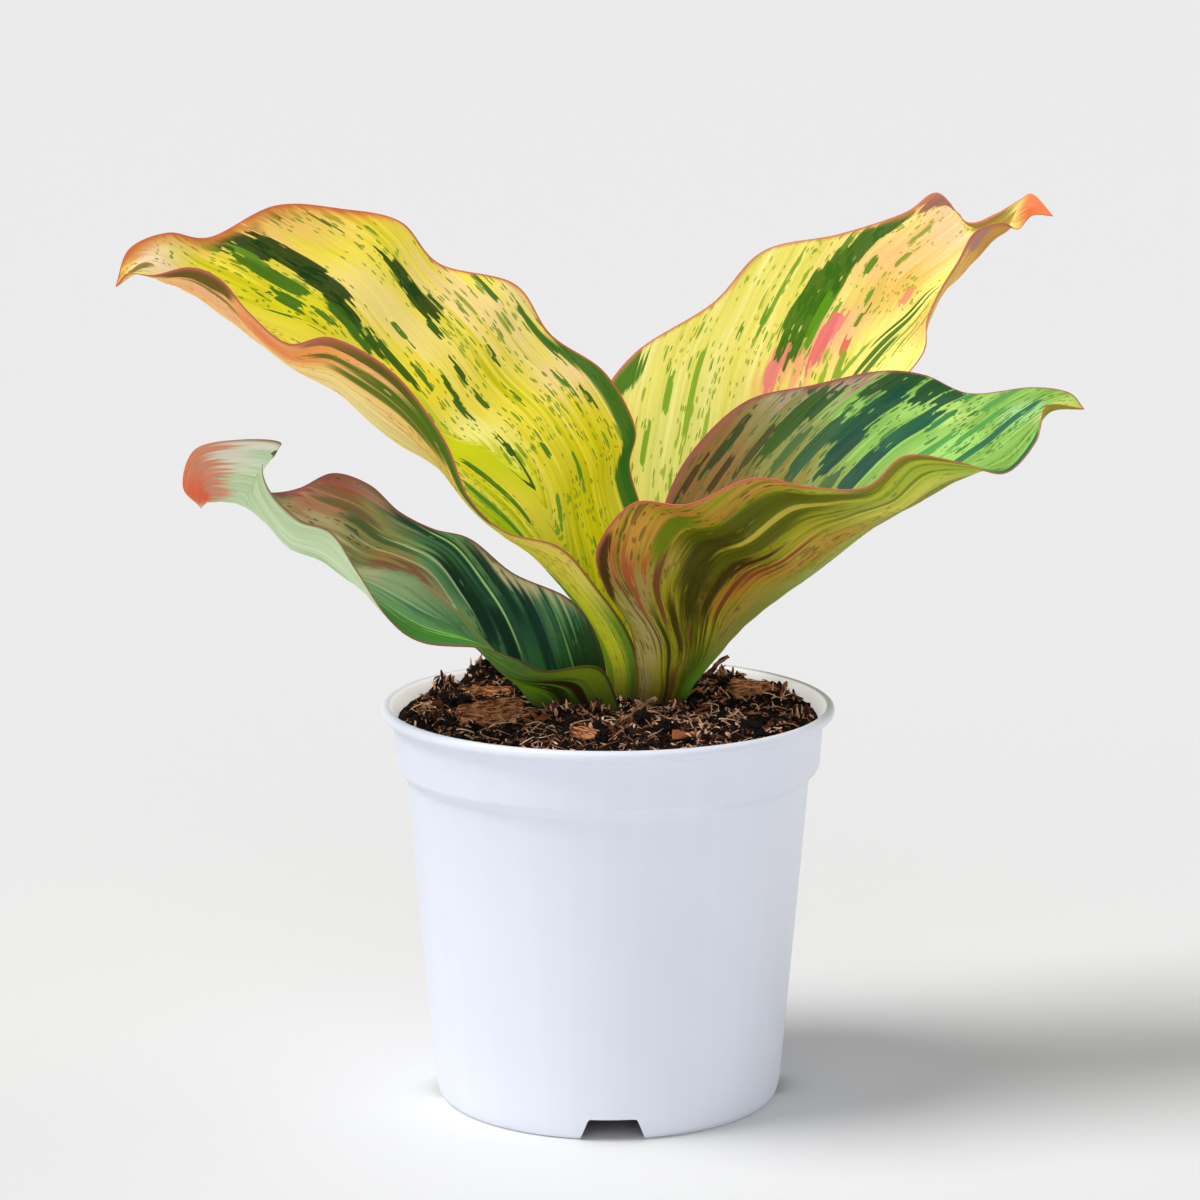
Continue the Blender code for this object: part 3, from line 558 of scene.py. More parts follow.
leafLeftLower = {
    "near": [
        (4, -1, 112), (-2.5, -5, 126), (-17.5, -14, 127), (-26, -24, 132.5), (-35, -34, 137.5),
        (-50.5, -42, 140.5), (-59.5, -46, 147.5), (-68, -47, 161), (-75, -47, 172), (-84, -48, 176),
        (-91.5, -50, 184), (-93, -52, 192), (-88, -53, 197.5), (-99, -54, 198.5), (-111, -55, 196),
        (-114.5, -55, 186),
    ],
    "keel": [
        (-17, 2, 112), (-22, -2, 118), (-29, -5, 126), (-37, -9, 136), (-45, -13, 145), (-53, -17, 152),
        (-62.5, -20, 155.5), (-71, -24, 157.5), (-79, -29, 162.5), (-87, -34, 166.5), (-92.5, -39, 173),
        (-97, -43, 178), (-100, -46, 181), (-103, -49, 182), (-107, -51, 182.5), (-109, -53, 181.5),
    ],
    "far": [
        (0, 6, 112), (-1, 4, 126), (-5, 3, 137), (-12, 3, 145), (-27, 2, 152), (-39, 1, 162),
        (-49.5, -2, 165.5), (-59, -5, 171), (-67, -8, 179), (-77, -12, 183), (-86, -20, 180),
        (-93, -28, 180), (-99, -38, 183), (-103, -44, 184), (-107, -48, 184), (-109, -52, 183),
    ],
    "tip": (-110, -54, 180), "turned": True, "length": 136, "halfWidth": 30, "midrib": 0,
    "nearBend": (-1, 0.6), "farBend": (0.9, 0.5), "seed": 31, "paintedGlow": 0.16, "rims": ["8a5a40", "94584c"],
    "baseRim": "4a3c1c", "rimEnd": 0.76,
    "top": {
        "crisp": False, "flecks": (-0.1, "16301e", "4a7040"),
        "base": [(0.3, "33603f"), (0.45, "4f8058"), (0.58, "74a468"), (0.72, "a0c28a")],
        "soft": [
            (0.19, 0.52, 0.14, 0.38, "1e4630"), (0.36, -0.14, 0.13, 0.36, "8ca678"),
            (0.44, 0.5, 0.1, 0.45, "8c8a50"), (0.57, 0.78, 0.11, 0.4, "c48a66"),
            (0.66, 0.2, 0.12, 0.6, "b88a66"), (0.55, 0.45, 0.09, 0.22, "ccbc88"),
            (0.46, 0.72, 0.06, 0.16, "a89c58"), (0.41, 0.9, 0.05, 0.1, "8c9864"),
            (0.53, 0.86, 0.05, 0.1, "9c5c34"), (0.49, 0.97, 0.07, 0.07, "c48c78"),
            (0.24, 0.97, 0.09, 0.16, "ccbc90"), (0.29, 0.8, 0.05, 0.12, "6c9460"),
            (0.23, 0.74, 0.05, 0.08, "4c7450"), (0.27, 0.08, 0.06, 0.14, "a08c68"),
            (0.2, 0.04, 0.06, 0.14, "7c9458"), (0.3, -0.85, 0.16, 0.24, "3f7f28"),
            (0.05, 0.6, 0.1, 0.5, "2f6a30"), (0.9, 0, 0.2, 1.5, "b08a70"), (0.42, 0, 0.06, 0.2, "aaac80"),
            (0.6, 0.98, 0.13, 0.13, "9c5450"), (0.36, 0.2, 0.09, 0.13, "84503c"),
            (0.38, 0.38, 0.06, 0.12, "9c7840"), (0.08, 0.9, 0.08, 0.3, "1c3c10"),
        ],
        "farDabs": [
            (33, -6.4, 15, 2, "10301f"), (20, -2.4, 10, 1.9, "10301f"), (20.5, 7, 11, 1.7, "123629"),
            (47, -0.6, 16, 1.5, "184232"), (33, 3.4, 11, 1.3, "143626"), (62, -8.8, 8, 1.3, "54683c"),
            (54, -9.4, 8, 1, "5c6a3c"), (70, -6.6, 9, 1.4, "7a6a44"), (76, -3.4, 9, 0.9, "8a6a4c"),
            (35, -0.2, 18, 0.35, "a9cf7c"), (16, 13, 12, 0.3, "6a9c50"), (30, -12.6, 14, 0.45, "a8c490"),
            (46, -8.4, 14, 0.4, "a4b890"), (52, -13, 12, 0.4, "b8b088"),
        ],
        "nearDabs": [
            (42, 39.2, 12, 0.45, "94c860"), (34, 41.6, 9, 0.45, "8cc04a"), (52, 36, 12, 0.8, "6a9a54"),
            (30, 34, 12, 1, "4a8040"), (62, 40, 8, 1.2, "3f7028"), (50, 31, 14, 0.5, "b4cc9c"),
        ],
        "edge": [(0.69, -0.96, 0.035, 0.07, "2f5a34"), (0.75, -1, 0.03, 0.1, "40683c")],
        "margins": [(1, 0.15, 0.75, 1.2, "8a5a50", 0.75), (-1, 0.2, 0.9, 0.8, "8a5a40", 0.8)],
    },
    "under": {
        "crisp": False, "flecks": (-0.2, "7a8a5c", "a8b088"),
        "base": [(0.34, "b0c89a"), (0.5, "c0d6a8"), (0.66, "d0dcba")],
        "soft": [
            (0.93, -0.5, 0.09, 1.2, "ec5430"), (0.86, -0.85, 0.07, 0.35, "d88860"),
            (0.8, -0.9, 0.05, 0.4, "dcd8c4"), (0.84, -0.2, 0.04, 0.4, "d8a080"),
            (0.14, -0.55, 0.16, 0.9, "4a7a1e"), (0.05, -0.5, 0.1, 1, "568018"),
            # the near-black spot at the foot, 2c2c0c, is painted shade
            (0.085, -0.3, 0.06, 0.26, "78a418"), (0.045, -0.62, 0.06, 0.16, "2c2c0c"),
            (0.26, -0.8, 0.12, 0.4, "5f8a30"), (0.45, -0.3, 0.12, 0.3, "a4c884"),
            (0.06, -0.95, 0.1, 0.2, "8ea61e"), (0.86, -0.5, 0.04, 0.8, "d08a70"),
        ],
        "farDabs": [],
        "nearDabs": [
            (7, 22.4, 9, 1.5, "40260f"), (82, 47, 22, 0.5, "e4ecd0"), (16, 20, 14, 0.6, "6c9a30"),
            (70, 44, 18, 0.5, "a8c490"), (30, 30, 16, 0.6, "7ca844"),
        ],
        "edge": [],
        "margins": [(-1, 0.2, 0.8, 0.9, "8a6a44", 0.6)],
    },
}


def along(points, share):
    # a point on the smooth curve through given points
    place = share * (len(points) - 1)
    i = min(int(place), len(points) - 2)
    t = place - i
    p1, p2 = Vector(points[i]), Vector(points[i + 1])
    p0 = Vector(points[i - 1]) if i > 0 else 2 * p1 - p2
    p3 = Vector(points[i + 2]) if i + 2 < len(points) else 2 * p2 - p1
    return 0.5 * (2 * p1 + (p2 - p0) * t + (2 * p0 - 5 * p1 + 4 * p2 - p3) * t ** 2
                  + (3 * p1 - p0 - 3 * p2 + p3) * t ** 3)


def step(value, low, high):
    t = min(max((value - low) / (high - low), 0), 1)
    return t * t * (3 - 2 * t)


def veinPlace(leaf, share, side, fromKeel):
    # the grain: millimetres along the blade, millimetres across the veins, and which side of the midrib
    wide, middle = leaf["halfWidth"], leaf["midrib"]
    onFar = step(side, middle - 0.1, middle + 0.1)
    across = []
    for (bend, reach), offset in ((leaf["nearBend"], (side - middle) * wide),
                                  (leaf["farBend"], math.copysign(fromKeel, side) - middle * wide)):
        bent = min(max(share - leafBuild["veinStart"], 0) / reach, 1)
        across.append(math.hypot(offset, 1.5) - bend * wide * math.sin(math.pi / 2 * bent))
    return Vector((share * leaf["length"], across[0] + (across[1] - across[0]) * onFar,
                   leafBuild["farGrain"] * onFar))


def shapeBlade(leaf, bm):
    layers = bm.verts.layers
    blade, grain = layers.float_vector.new("blade"), layers.float_vector.new("grain")
    rim = layers.float.new("rim")
    rails = [leaf[name] + [leaf["tip"]] for name in ("near", "keel", "far")]
    rows = {}
    for vert in bm.verts:
        share, side = (vert.co.x + 1) / 2, vert.co.y
        row = round(share * leafBuild["stepsAlong"])
        if row not in rows:
            rows[row] = [along(rail, share) for rail in rails]
        near, keel, far = rows[row]
        middle = (near + far) / 2
        point = keel + side * (far - near) / 2 + side ** 2 * (middle - keel)
        vert[grain] = veinPlace(leaf, share, side, (point - keel).length)
        if row == leafBuild["stepsAlong"]:
            wide = rows[row - 1][2] - rows[row - 1][0]
            point = point + side * wide * leafBuild["tipWidth"]
        if row == 0:
            point.z -= leafBuild["sink"]
        vert[blade] = (share, side, 0)
        vert[rim] = (1 - abs(side)) * ((far if side > 0 else near) - keel).length
        vert.co = point * mm


def liftPleats(leaf, bm, blade, grain, lift):
    # low pleats and waves that die out at the edges, the ends and the midrib
    for vert in bm.verts:
        share, side, _ = vert[blade]
        x, y, z = vert[grain]
        fade = step(share, 0.06, 0.25) * (1 - step(share, 0.85, 0.98)) * step(1 - abs(side), 0, 0.12)
        half = leafBuild["farGrain"] / 2
        fade *= 1 - step(abs(z - half), half, half - 1)  # the two sets of veins meet along the midrib
        pleat = math.sin(y / leafBuild["pleatWidth"] * 2 * math.pi + 1.3 * math.sin(x / 31))
        swell = noise.noise(Vector((x * 0.045, y * 0.1, leaf["seed"])))
        vert[lift] = vert.normal.copy()
        vert.co += vert.normal * mm * fade * (leafBuild["pleat"] * pleat + leafBuild["swell"] * swell)


def bladeThickness(leaf, share, side):
    # thin at the edges and the tip, thicker towards the stalk and along the midrib
    toEdge = 0.6 + 0.4 * step(1 - abs(side), 0, 0.2)
    ridge = math.exp(-((side - leaf["midrib"] / 2) / leafBuild["ridge"]) ** 2) * (1 - step(share, 0.3, 1))
    thick = leafBuild["blade"] * toEdge * (1 - 0.35 * share) + leafBuild["midrib"] * ridge
    return thick + leafBuild["stalk"] * (1 - step(share, 0, 0.22)) * toEdge


def makeBlade(leaf):
    bm = bmesh.new()
    bmesh.ops.create_grid(bm, x_segments=leafBuild["stepsAlong"], y_segments=leafBuild["stepsAcross"],
                          size=1.0)
    shapeBlade(leaf, bm)
    if leaf["turned"]:
        bmesh.ops.reverse_faces(bm, faces=bm.faces[:])
    bm.normal_update()
    layers = bm.verts.layers.float_vector
    lift = layers.new("lift")
    blade, grain = layers["blade"], layers["grain"]
    liftPleats(leaf, bm, blade, grain, lift)
    bm.normal_update()
    made = bmesh.ops.extrude_face_region(bm, geom=bm.faces[:], use_keep_orig=True)["geom"]
    for vert in made:
        if isinstance(vert, bmesh.types.BMVert):
            share, side, _ = vert[blade]
            vert.co -= vert[lift] * mm * bladeThickness(leaf, share, side)
            vert[blade] = (share, side, 1)
    layers.remove(lift)
    bmesh.ops.recalc_face_normals(bm, faces=bm.faces[:])
    return bm


class Skin:
    # the colours of one face of a blade
    def __init__(self, finish, look, blade, grain, rim, seed):
        self.finish, self.look, self.blade, self.grain, self.rim = finish, look, blade, grain, rim
        self.seed, self.dabbed = seed, None
        self.gx, self.gy, self.gz = finish.parts(grain)
        self.share, self.side, _ = finish.parts(blade)
        self.calm = self.offMidrib(0.1, 1.5)
        self.streak = self.lines("streak") * self.calm
        self.hair = self.lines("hair", 2.0) * self.calm
        self.crowd = self.lines("crowd", 1.0) * 1.1 + look["flecks"][0]
        cloud = self.lines("cloud") * self.calm
        self.colour = finish.ramp(cloud * 0.6 + self.streak * 0.4 + 0.5, look["base"])
        self.paintMarks(look["soft"], self.streak, *leafPaint["softMark"])
        self.paintDabs()
        self.paintFlecks()
        self.paintMarks(look["edge"], self.hair, *leafPaint["edgeMark"])
        self.paintMargins()
        self.veins = finish.rise(self.hair * 0.55 + self.streak * 0.45, -0.16, 0.16)
        shade = finish.mixed(self.veins, *leafPaint["veins"])
        self.colour = finish.mixed(leafPaint["veinShow"], self.colour, shade, "MULTIPLY")

    def offMidrib(self, low, high):
        far = leafBuild["farGrain"]
        return 1 - self.finish.rise(self.gz, low, high) * self.finish.rise(self.gz, far - low, far - high)

    def lines(self, kind, detail=3.0):
        # cloudy noise about 0, drawn out along the veins
        long, wide, turn = leafPaint[kind]
        at = self.finish.vector(self.gx / long, self.gy / wide, self.gz * 0.4 + self.seed * turn)
        return self.finish.noise(at, 1.0, detail, 0.55) - 0.5

    def cells(self, long, wide, turn):
        # cells drawn out along the veins: distance from each one's middle, and two of its random numbers
        at = self.finish.vector(self.gx / long + self.gz * 0.7 + turn, self.gy / wide + self.seed, 0)
        middle = self.finish.add("ShaderNodeTexVoronoi", {"voronoi_dimensions": "2D"},
                                 {"Vector": at, "Scale": 1.0, "Randomness": 0.95})
        picks = self.finish.parts(Flow(self.finish, middle.socket.node.outputs["Color"]))
        return middle, picks[0], picks[1]

    def paintMarks(self, marks, across, pushAlong, pushAcross, inner, outer, amount):
        # ellipses that keep to the outline
        finish = self.finish
        start = finish.vectorSum(self.blade, finish.vector(self.streak * pushAlong, across * pushAcross, 0))
        for share, side, long, wide, code in marks:
            apart = finish.vectorSum(start, (share, side, 0), "SUBTRACT")
            far = finish.length(finish.vectorSum(apart, (1 / long, 1 / wide, 0), "MULTIPLY"))
            self.colour = finish.mixed(finish.rise(far, outer, inner) * amount, self.colour, code)

    def paintDabs(self):
        finish, look = self.finish, self.look
        fingers, holes = self.cells(*leafPaint["fingers"])[1], self.cells(*leafPaint["holes"])
        inner, outer, byFingers, byStreaks = leafPaint["crispDab" if look["crisp"] else "softDab"]
        broken = finish.vector((fingers - 0.5) * byFingers + self.streak * byStreaks, self.hair * 0.7, 0)
        start = finish.vectorSum(self.grain, broken)
        solid = 1 - finish.rise(holes[1], 0.975, 0.98) * finish.rise(holes[0], 0.4, 0.32) * 0.7
        for name, height in (("nearDabs", 0), ("farDabs", leafBuild["farGrain"])):
            for x, y, long, wide, code in look[name]:
                apart = finish.vectorSum(start, (x, y, height), "SUBTRACT")
                scaled = finish.vectorSum(apart, (1 / long, 1 / wide, 0.9), "MULTIPLY")
                far = finish.length(finish.vectorSum(scaled, scaled, "MULTIPLY"))  # squared, for blunt ends
                self.crowd = self.crowd + finish.rise(far, 4, 1) * leafPaint["dabCrowd"]
                mask = finish.rise(far, outer, inner) * solid
                self.colour = finish.mixed(mask * leafPaint["dabShow"], self.colour, code)
                self.dabbed = finish.most(self.dabbed, mask) if self.dabbed else mask

    def paintFlecks(self):
        finish = self.finish
        bare = self.offMidrib(0.01, 0.2)
        bare = bare * (1 - self.dabbed * 0.9) if self.dabbed else bare
        turn, apart = leafPaint["fleckTurn"]
        for i, (long, wide, rare) in enumerate(leafPaint["flecks"]):
            middle, pick, size = self.cells(long, wide, turn + apart * i)
            shown = finish.rise(pick + self.crowd, rare, rare + 0.01) * bare
            mark = finish.rise(middle, 0.16 + size * 0.26, 0.1 + size * 0.24)
            tone = finish.mixed(size, *self.look["flecks"][1:])
            self.colour = finish.mixed(mark * shown * leafPaint["fleckShow"], self.colour, tone)

    def paintMargins(self):
        finish, fade = self.finish, leafPaint["marginFade"]
        for sign, low, high, reach, code, amount in self.look["margins"]:
            here = finish.rise(self.side * sign, 0, 0.2) * finish.rise(self.share, low - fade, low + fade)
            here = here * finish.rise(self.share, high + fade, high - fade)
            close = finish.rise(self.rim + self.streak * reach, reach, reach * 0.1)
            self.colour = finish.mixed(close * here * amount, self.colour, code)


def makeLeafFinish(name, leaf):
    finish = Finish(name, leafPaint["gloss"], leaf["paintedGlow"])
    blade, grain = finish.reading("blade", "Vector"), finish.reading("grain", "Vector")
    rim = finish.reading("rim")
    share, side, under = finish.parts(blade)
    flat = finish.vectorSum(blade, (1, 1, 0), "MULTIPLY")
    upper = Skin(finish, leaf["top"], flat, grain, rim, leaf["seed"])
    lower = Skin(finish, leaf["under"], flat, grain, rim, leaf["seed"] + 50)
    colour = finish.mixed(under, upper.colour, lower.colour)
    line = finish.rise(rim + upper.hair * 0.4, *leafPaint["rimLine"])
    line = line * finish.rise(share, leaf["rimEnd"] + leafPaint["rimFade"], leaf["rimEnd"])
    edges = finish.mixed(finish.rise(side, -0.1, 0.1), *leaf["rims"])
    edges = finish.mixed(finish.rise(share, *leafPaint["baseRimFrom"]), edges, leaf["baseRim"])
    colour = finish.mixed(line * leafPaint["rimShow"], colour, edges)
    # painted shade and damp: the foot of the blade darkens towards the mix
    foot = finish.rise(share, leafPaint["footReach"], 0) * leafPaint["footDampAndShadeShow"]
    colour = finish.mixed(foot, colour, leafPaint["footDampAndShadeTone"])
    # painted glow: the blade gives out its own colour as light
    finish.feed(finish.shader, {"Emission Color": colour})
    height = upper.veins * (1 - under) + lower.veins * under
    return finish.done(colour, leafPaint["rough"] + upper.hair * 0.25, height, leafPaint["bump"])


leaves = {
    "left_upper": leafLeftUpper, "right_upper": leafRightUpper,
    "right_lower": leafRightLower, "left_lower": leafLeftLower,
}
for place, leaf in leaves.items():
    skin = makeLeafFinish("blade_" + place + "_skin", leaf)
    piece = addPiece("blade_" + place, makeBlade(leaf), [skin], sharpFrom=70)
    settle(piece, "leaf_" + place, "leaf_" + place)


# Pot

pot = {
    "turns": 180,
    "wall": 1.3,
    "floor": 8.4,
    "outside": [  # radius, height and how far the corner is rounded
        (48.4, 0, 0.5), (49.5, 1.6, 0.8), (50.2, 5, 1.5), (57.8, 94.4, 0.9), (60.7, 97.2, 0.9),
        (61.7, 111.4, 0.5), (64.4, 111.7, 0.9), (65, 113.2, 0.8), (64.6, 114.5, 0.6), (63.4, 115, 0.6),
        (62.2, 114.5, 0.6), (61.2, 111.6, 1), (59.4, 98.6, 0.9), (56.5, 95.7, 0.9), (49.2, 9, 1.2),
    ],
    "underside": [(45.2, 0, 0.4), (45.6, 7.1, 0.6)],
    "notches": 4, "notchTurn": 1.5, "notchTop": 13.6, "notchFoot": 18.4, "notchHeight": 6.4,
    "notchFrom": 38, "notchTo": 55, "notchBelow": 2, "notchRound": 0.7,
    "drainRadius": 4, "drainRing": 27, "drainCount": 6, "drainDepth": 6,
    "sharpFrom": 32,
    "gloss": 0.5,
    "paintedGlow": 0.66,  # painted glow: the inner wall and the rim give out light in the tone below, standing in for light through the wall
    "paintedGlowTone": "d4d0d0",
    "tones": ("e8ecf8", "e0e5f2"), "dragTone": "f2f5fc", "innerShadeTone": "e0dad6",
    "grimeTone": "8a7466", "underShadeTone": "202226",
    # where each part of the finish starts and where it is full, in metres
    "innerWall": (0.05205, 0.05185), "innerTaper": 0.085, "innerFoot": (0.0985, 0.0995),
    "lipRadius": (0.063, 0.0622), "lipHeight": (0.1119, 0.1124), "grimeHeight": (0.1125, 0.108),
    "underShadeRadius": (0.0464, 0.0458), "underShadeHeight": (0.008, 0.007),
    "rough": 0.3,
    "bump": (0.12, 0.2),
}


def makePotFinish():
    finish = Finish("white_plastic", pot["gloss"], pot["paintedGlow"])
    place = finish.place()
    x, y, z = finish.parts(place)
    around, radius = finish.sums("ARCTAN2", y, x), finish.length(finish.vector(x, y, 0))
    cloud = finish.noise(place, 22, 3.0)
    drag = finish.noise(finish.vector(around * 9, z * 8, 0), 1.0, 3.0)  # faint draw marks up the wall
    soot = finish.noise(place, 260, 3.0)
    colour = finish.mixed(finish.rise(cloud, 0.3, 0.7) * 0.35, *pot["tones"])
    colour = finish.mixed(finish.rise(drag, 0.45, 0.7) * 0.15, colour, pot["dragTone"])
    inside = finish.rise(radius - z * pot["innerTaper"], *pot["innerWall"])
    inside = inside * finish.rise(z, *pot["innerFoot"])
    lip = finish.rise(radius, *pot["lipRadius"]) * finish.rise(z, *pot["lipHeight"])
    inside = finish.most(inside, lip)  # the inner wall up to the crown of the rim
    # painted shade: the inner wall a touch greyer than the outside
    colour = finish.mixed(inside * 0.2, colour, pot["innerShadeTone"])
    grime = finish.rise(z, *pot["grimeHeight"]) * finish.rise(soot, 0.5, 0.62)
    colour = finish.mixed(grime * inside * 0.35, colour, pot["grimeTone"])
    foot = finish.rise(radius, *pot["underShadeRadius"]) * finish.rise(z, *pot["underShadeHeight"])  # painted shade under the pot, dark in the foot notches
    colour = finish.mixed(foot * 0.9, colour, pot["underShadeTone"])
    # painted glow: the inner wall and the crown of the rim give out light of their own
    finish.feed(finish.shader, {"Emission Color": finish.mixed(inside, "000000", pot["paintedGlowTone"])})
    height = finish.noise(place, 900) * 0.25 + drag * 0.6
    return finish.done(colour, pot["rough"] + cloud * 0.14 + drag * 0.05, height, pot["bump"])


def turnOutline(points, turns):
    # spins an outline of (radius, height, rounding) about the upright axis
    bm = bmesh.new()
    verts = [bm.verts.new((radius * mm, 0, height * mm)) for radius, height, _ in points]
    for pair in zip(verts, verts[1:]):
        bm.edges.new(pair)
    for vert, (_, _, rounding) in zip(verts, points):
        if rounding:
            bmesh.ops.bevel(bm, geom=[vert], offset=rounding * mm, offset_type="OFFSET", segments=3,
                            profile=0.5, affect="VERTICES", material=-1, clamp_overlap=True)
    bmesh.ops.spin(bm, geom=bm.verts[:] + bm.edges[:], cent=(0, 0, 0), axis=(0, 0, 1),
                   angle=2 * math.pi, steps=turns, use_merge=True)
    bmesh.ops.remove_doubles(bm, verts=bm.verts[:], dist=0.002 * mm)
    bmesh.ops.recalc_face_normals(bm, faces=bm.faces[:])
    return bm


def cutAway(piece, cutterMesh):
    # takes a closed mesh out of a piece for good
    cutter = addPiece("cutter", cutterMesh)
    cut = piece.modifiers.new("cut", "BOOLEAN")
    cut.operation, cut.solver, cut.object = "DIFFERENCE", "EXACT", cutter
    shaped = bpy.data.meshes.new_from_object(piece.evaluated_get(bpy.context.evaluated_depsgraph_get()))
    piece.modifiers.clear()
    piece.data = shaped
    bpy.data.objects.remove(cutter)


def drainHoles():
    bm = bmesh.new()
    turns = [2 * math.pi * (i + 0.5) / pot["drainCount"] for i in range(pot["drainCount"])]
    for x, y in [(0, 0)] + [(pot["drainRing"] * math.cos(t), pot["drainRing"] * math.sin(t)) for t in turns]:
        middle = Vector((x, y, pot["floor"] - pot["wall"] / 2)) * mm
        bmesh.ops.create_cone(bm, cap_ends=True, segments=32, radius1=pot["drainRadius"] * mm,
                              radius2=pot["drainRadius"] * mm, depth=pot["drainDepth"] * mm,
                              matrix=Matrix.Translation(middle))
    return bm


def footNotches():
    # cutters that widen towards the foot and past it, with their two upper corners rounded
    bm = bmesh.new()
    flare = (pot["notchFoot"] - pot["notchTop"]) / pot["notchHeight"] * pot["notchBelow"]
    for i in range(pot["notches"]):
        turn = Matrix.Rotation(2 * math.pi * i / pot["notches"] + math.radians(pot["notchTurn"]), 4, "Z")
        made = bmesh.ops.create_cube(bm, size=1.0)["verts"]
        for vert in made:
            wide, high = ((pot["notchTop"], pot["notchHeight"]) if vert.co.z > 0
                          else (pot["notchFoot"] + flare, -pot["notchBelow"]))
            out = pot["notchTo"] if vert.co.x > 0 else pot["notchFrom"]
            vert.co = Vector((out, math.copysign(wide / 2, vert.co.y), high)) * mm
        bmesh.ops.transform(bm, matrix=turn, verts=made)
    corners = [e for e in bm.edges if min(v.co.z for v in e.verts) > 0
               and abs(e.verts[0].co.xy.length - e.verts[1].co.xy.length) > 5 * mm]
    bmesh.ops.bevel(bm, geom=corners, offset=pot["notchRound"] * mm, offset_type="OFFSET", segments=3,
                    profile=0.5, affect="EDGES", material=-1)
    return bm


def makePot():
    underside = [(0, pot["floor"] - pot["wall"], 0)] + pot["underside"][::-1]
    outline = underside + pot["outside"] + [(0, pot["floor"], 0)]
    piece = addPiece("nursery_pot", turnOutline(outline, pot["turns"]), [makePotFinish()])
    cutAway(piece, drainHoles())
    cutAway(piece, footNotches())
    piece.data.shade_smooth()
    piece.data.set_sharp_from_angle(angle=math.radians(pot["sharpFrom"]))
    settle(piece, "pot_plastic", "pot")


makePot()


# Potting mix and what lies on it

mix = {
    "seed": 5,
    "turns": 240,
    "rings": 70,
    "reach": 60.3,
    "mound": [(0, 112.9), (20, 112.8), (33, 112.3), (40, 111.4), (50, 110.4), (60.3, 109.6)],
    "wall": [(58.7, 99, 0), (55.9, 95, 0), (48.6, 8.8, 0), (0, 8.8, 0)],
    "backRise": 2.2,  # how much higher it lies behind the plant
    "humps": 110,
    "clumps": [  # x, y, reach and height in millimetres
        (-37, 42, 8, 5.2), (-48, 28, 6, 3), (50, 9, 7, 4.8), (36, 44, 8, 2.4), (-22, 52, 7, 1.8),
        (55, -6, 5, 2.2), (26, -34, 8, 1.4), (-50, -10, 7, 1.6), (-14, -12, 5, 2), (-3, -10, 4, 2.6),
        (9, -8, 4, 1.8), (19, -7, 5, 2),
    ],
    "spikes": 12,  # shreds that stand up in each clump
    "tones": [(0.38, "040302"), (0.52, "120a06"), (0.62, "30200f"), (0.74, "6a4630")],
    "lumpSize": 420, "dustSize": 1500,
    "bump": (0.8, 0.6),
}
woodLook = {  # pale and deep tint
    "split_bark": ("dc9868", "66341c"),
    "twig_wood": ("9c7254", "3c2618"),
}
woodBlot = "3a1c0e"
bark = {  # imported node: x, y, heading, length, width, thickness, lean towards the front
    "bark_chip_front_left": (-33, -13, 24, 18, 9.5, 1.8, 0.75),
    "bark_chip_left": (-34, 17, -12, 11, 6, 1.5, 0.55),
    "bark_chip_right": (42, 18, 28, 12, 7, 1.6, 0.75),
    "bark_chip_front": (-6, -33, -35, 9, 5, 1.4, 0.45),
}
twigs = {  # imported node: x, y, heading, length, thick radius, rise at the raised end
    "twig_front": (8, -22, 40, 15, 1.2, 6),
    "twig_right": (40, -6, -22, 12, 0.8, 0.8),
    "twig_back": (32, 40, 15, 10, 0.9, 5.5),
}


def spot(rng, reach=58.5, inner=0.0):
    # a random place on the mix, off the larger chips of bark
    while True:
        x, y = rng.uniform(-reach, reach), rng.uniform(-reach, reach)
        onBark = any(math.hypot(x - chip[0], y - chip[1]) < chip[3] * 0.33 for chip in bark.values())
        if inner <= math.hypot(x, y) <= reach and not onBark:
            return x, y


def moundHeight(radius):
    points = mix["mound"]
    for (r0, z0), (r1, z1) in zip(points, points[1:]):
        if radius <= r1:
            return z0 + (z1 - z0) * (radius - r0) / (r1 - r0)
    return points[-1][1]


def smoothHeight(x, y, rise=1.0):
    # the mix without its lumps, higher behind the plant
    return moundHeight(math.hypot(x, y)) + rise * mix["backRise"] * step(y, -20, 40)


def makeHumps():
    rng = random.Random(mix["seed"] + 1)
    humps = list(mix["clumps"])
    for _ in range(mix["humps"]):
        humps.append((*spot(rng, 57, 16), rng.uniform(2.6, 6), rng.uniform(1, 2.9)))
    return humps


humps = makeHumps()


def mixHeight(x, y):
    # lumpy surface of the mix, in millimetres
    at = Vector((x, y, mix["seed"]))
    lumps = noise.noise(at * 0.11) * 0.9 + noise.noise(at * 0.3) * 0.9
    nearest, second = noise.voronoi(at * 0.42)[0][:2]
    crumbs = min(1.0, (second - nearest) * 1.6) * 1.1 - 0.55
    hump = 0.0
    for cx, cy, reach, tall in humps:
        if abs(x - cx) < reach and abs(y - cy) < reach:
            hump = max(hump, tall * (1 - ((x - cx) ** 2 + (y - cy) ** 2) / reach ** 2))
    return smoothHeight(x, y) + hump + (lumps + crumbs) * (0.65 if math.hypot(x, y) < 30 else 1.0)


def makeMixFinish():
    finish = Finish("potting_mix", 0.15)
    place = finish.place()
    lump = finish.noise(place, mix["lumpSize"], 4.0, 0.6)
    dust = finish.noise(place, mix["dustSize"], 3.0, 0.6)
    colour = finish.ramp(lump * 0.6 + dust * 0.4, mix["tones"])
    return finish.done(colour, 0.9 + dust * 0.08, lump + dust * 0.6, mix["bump"])


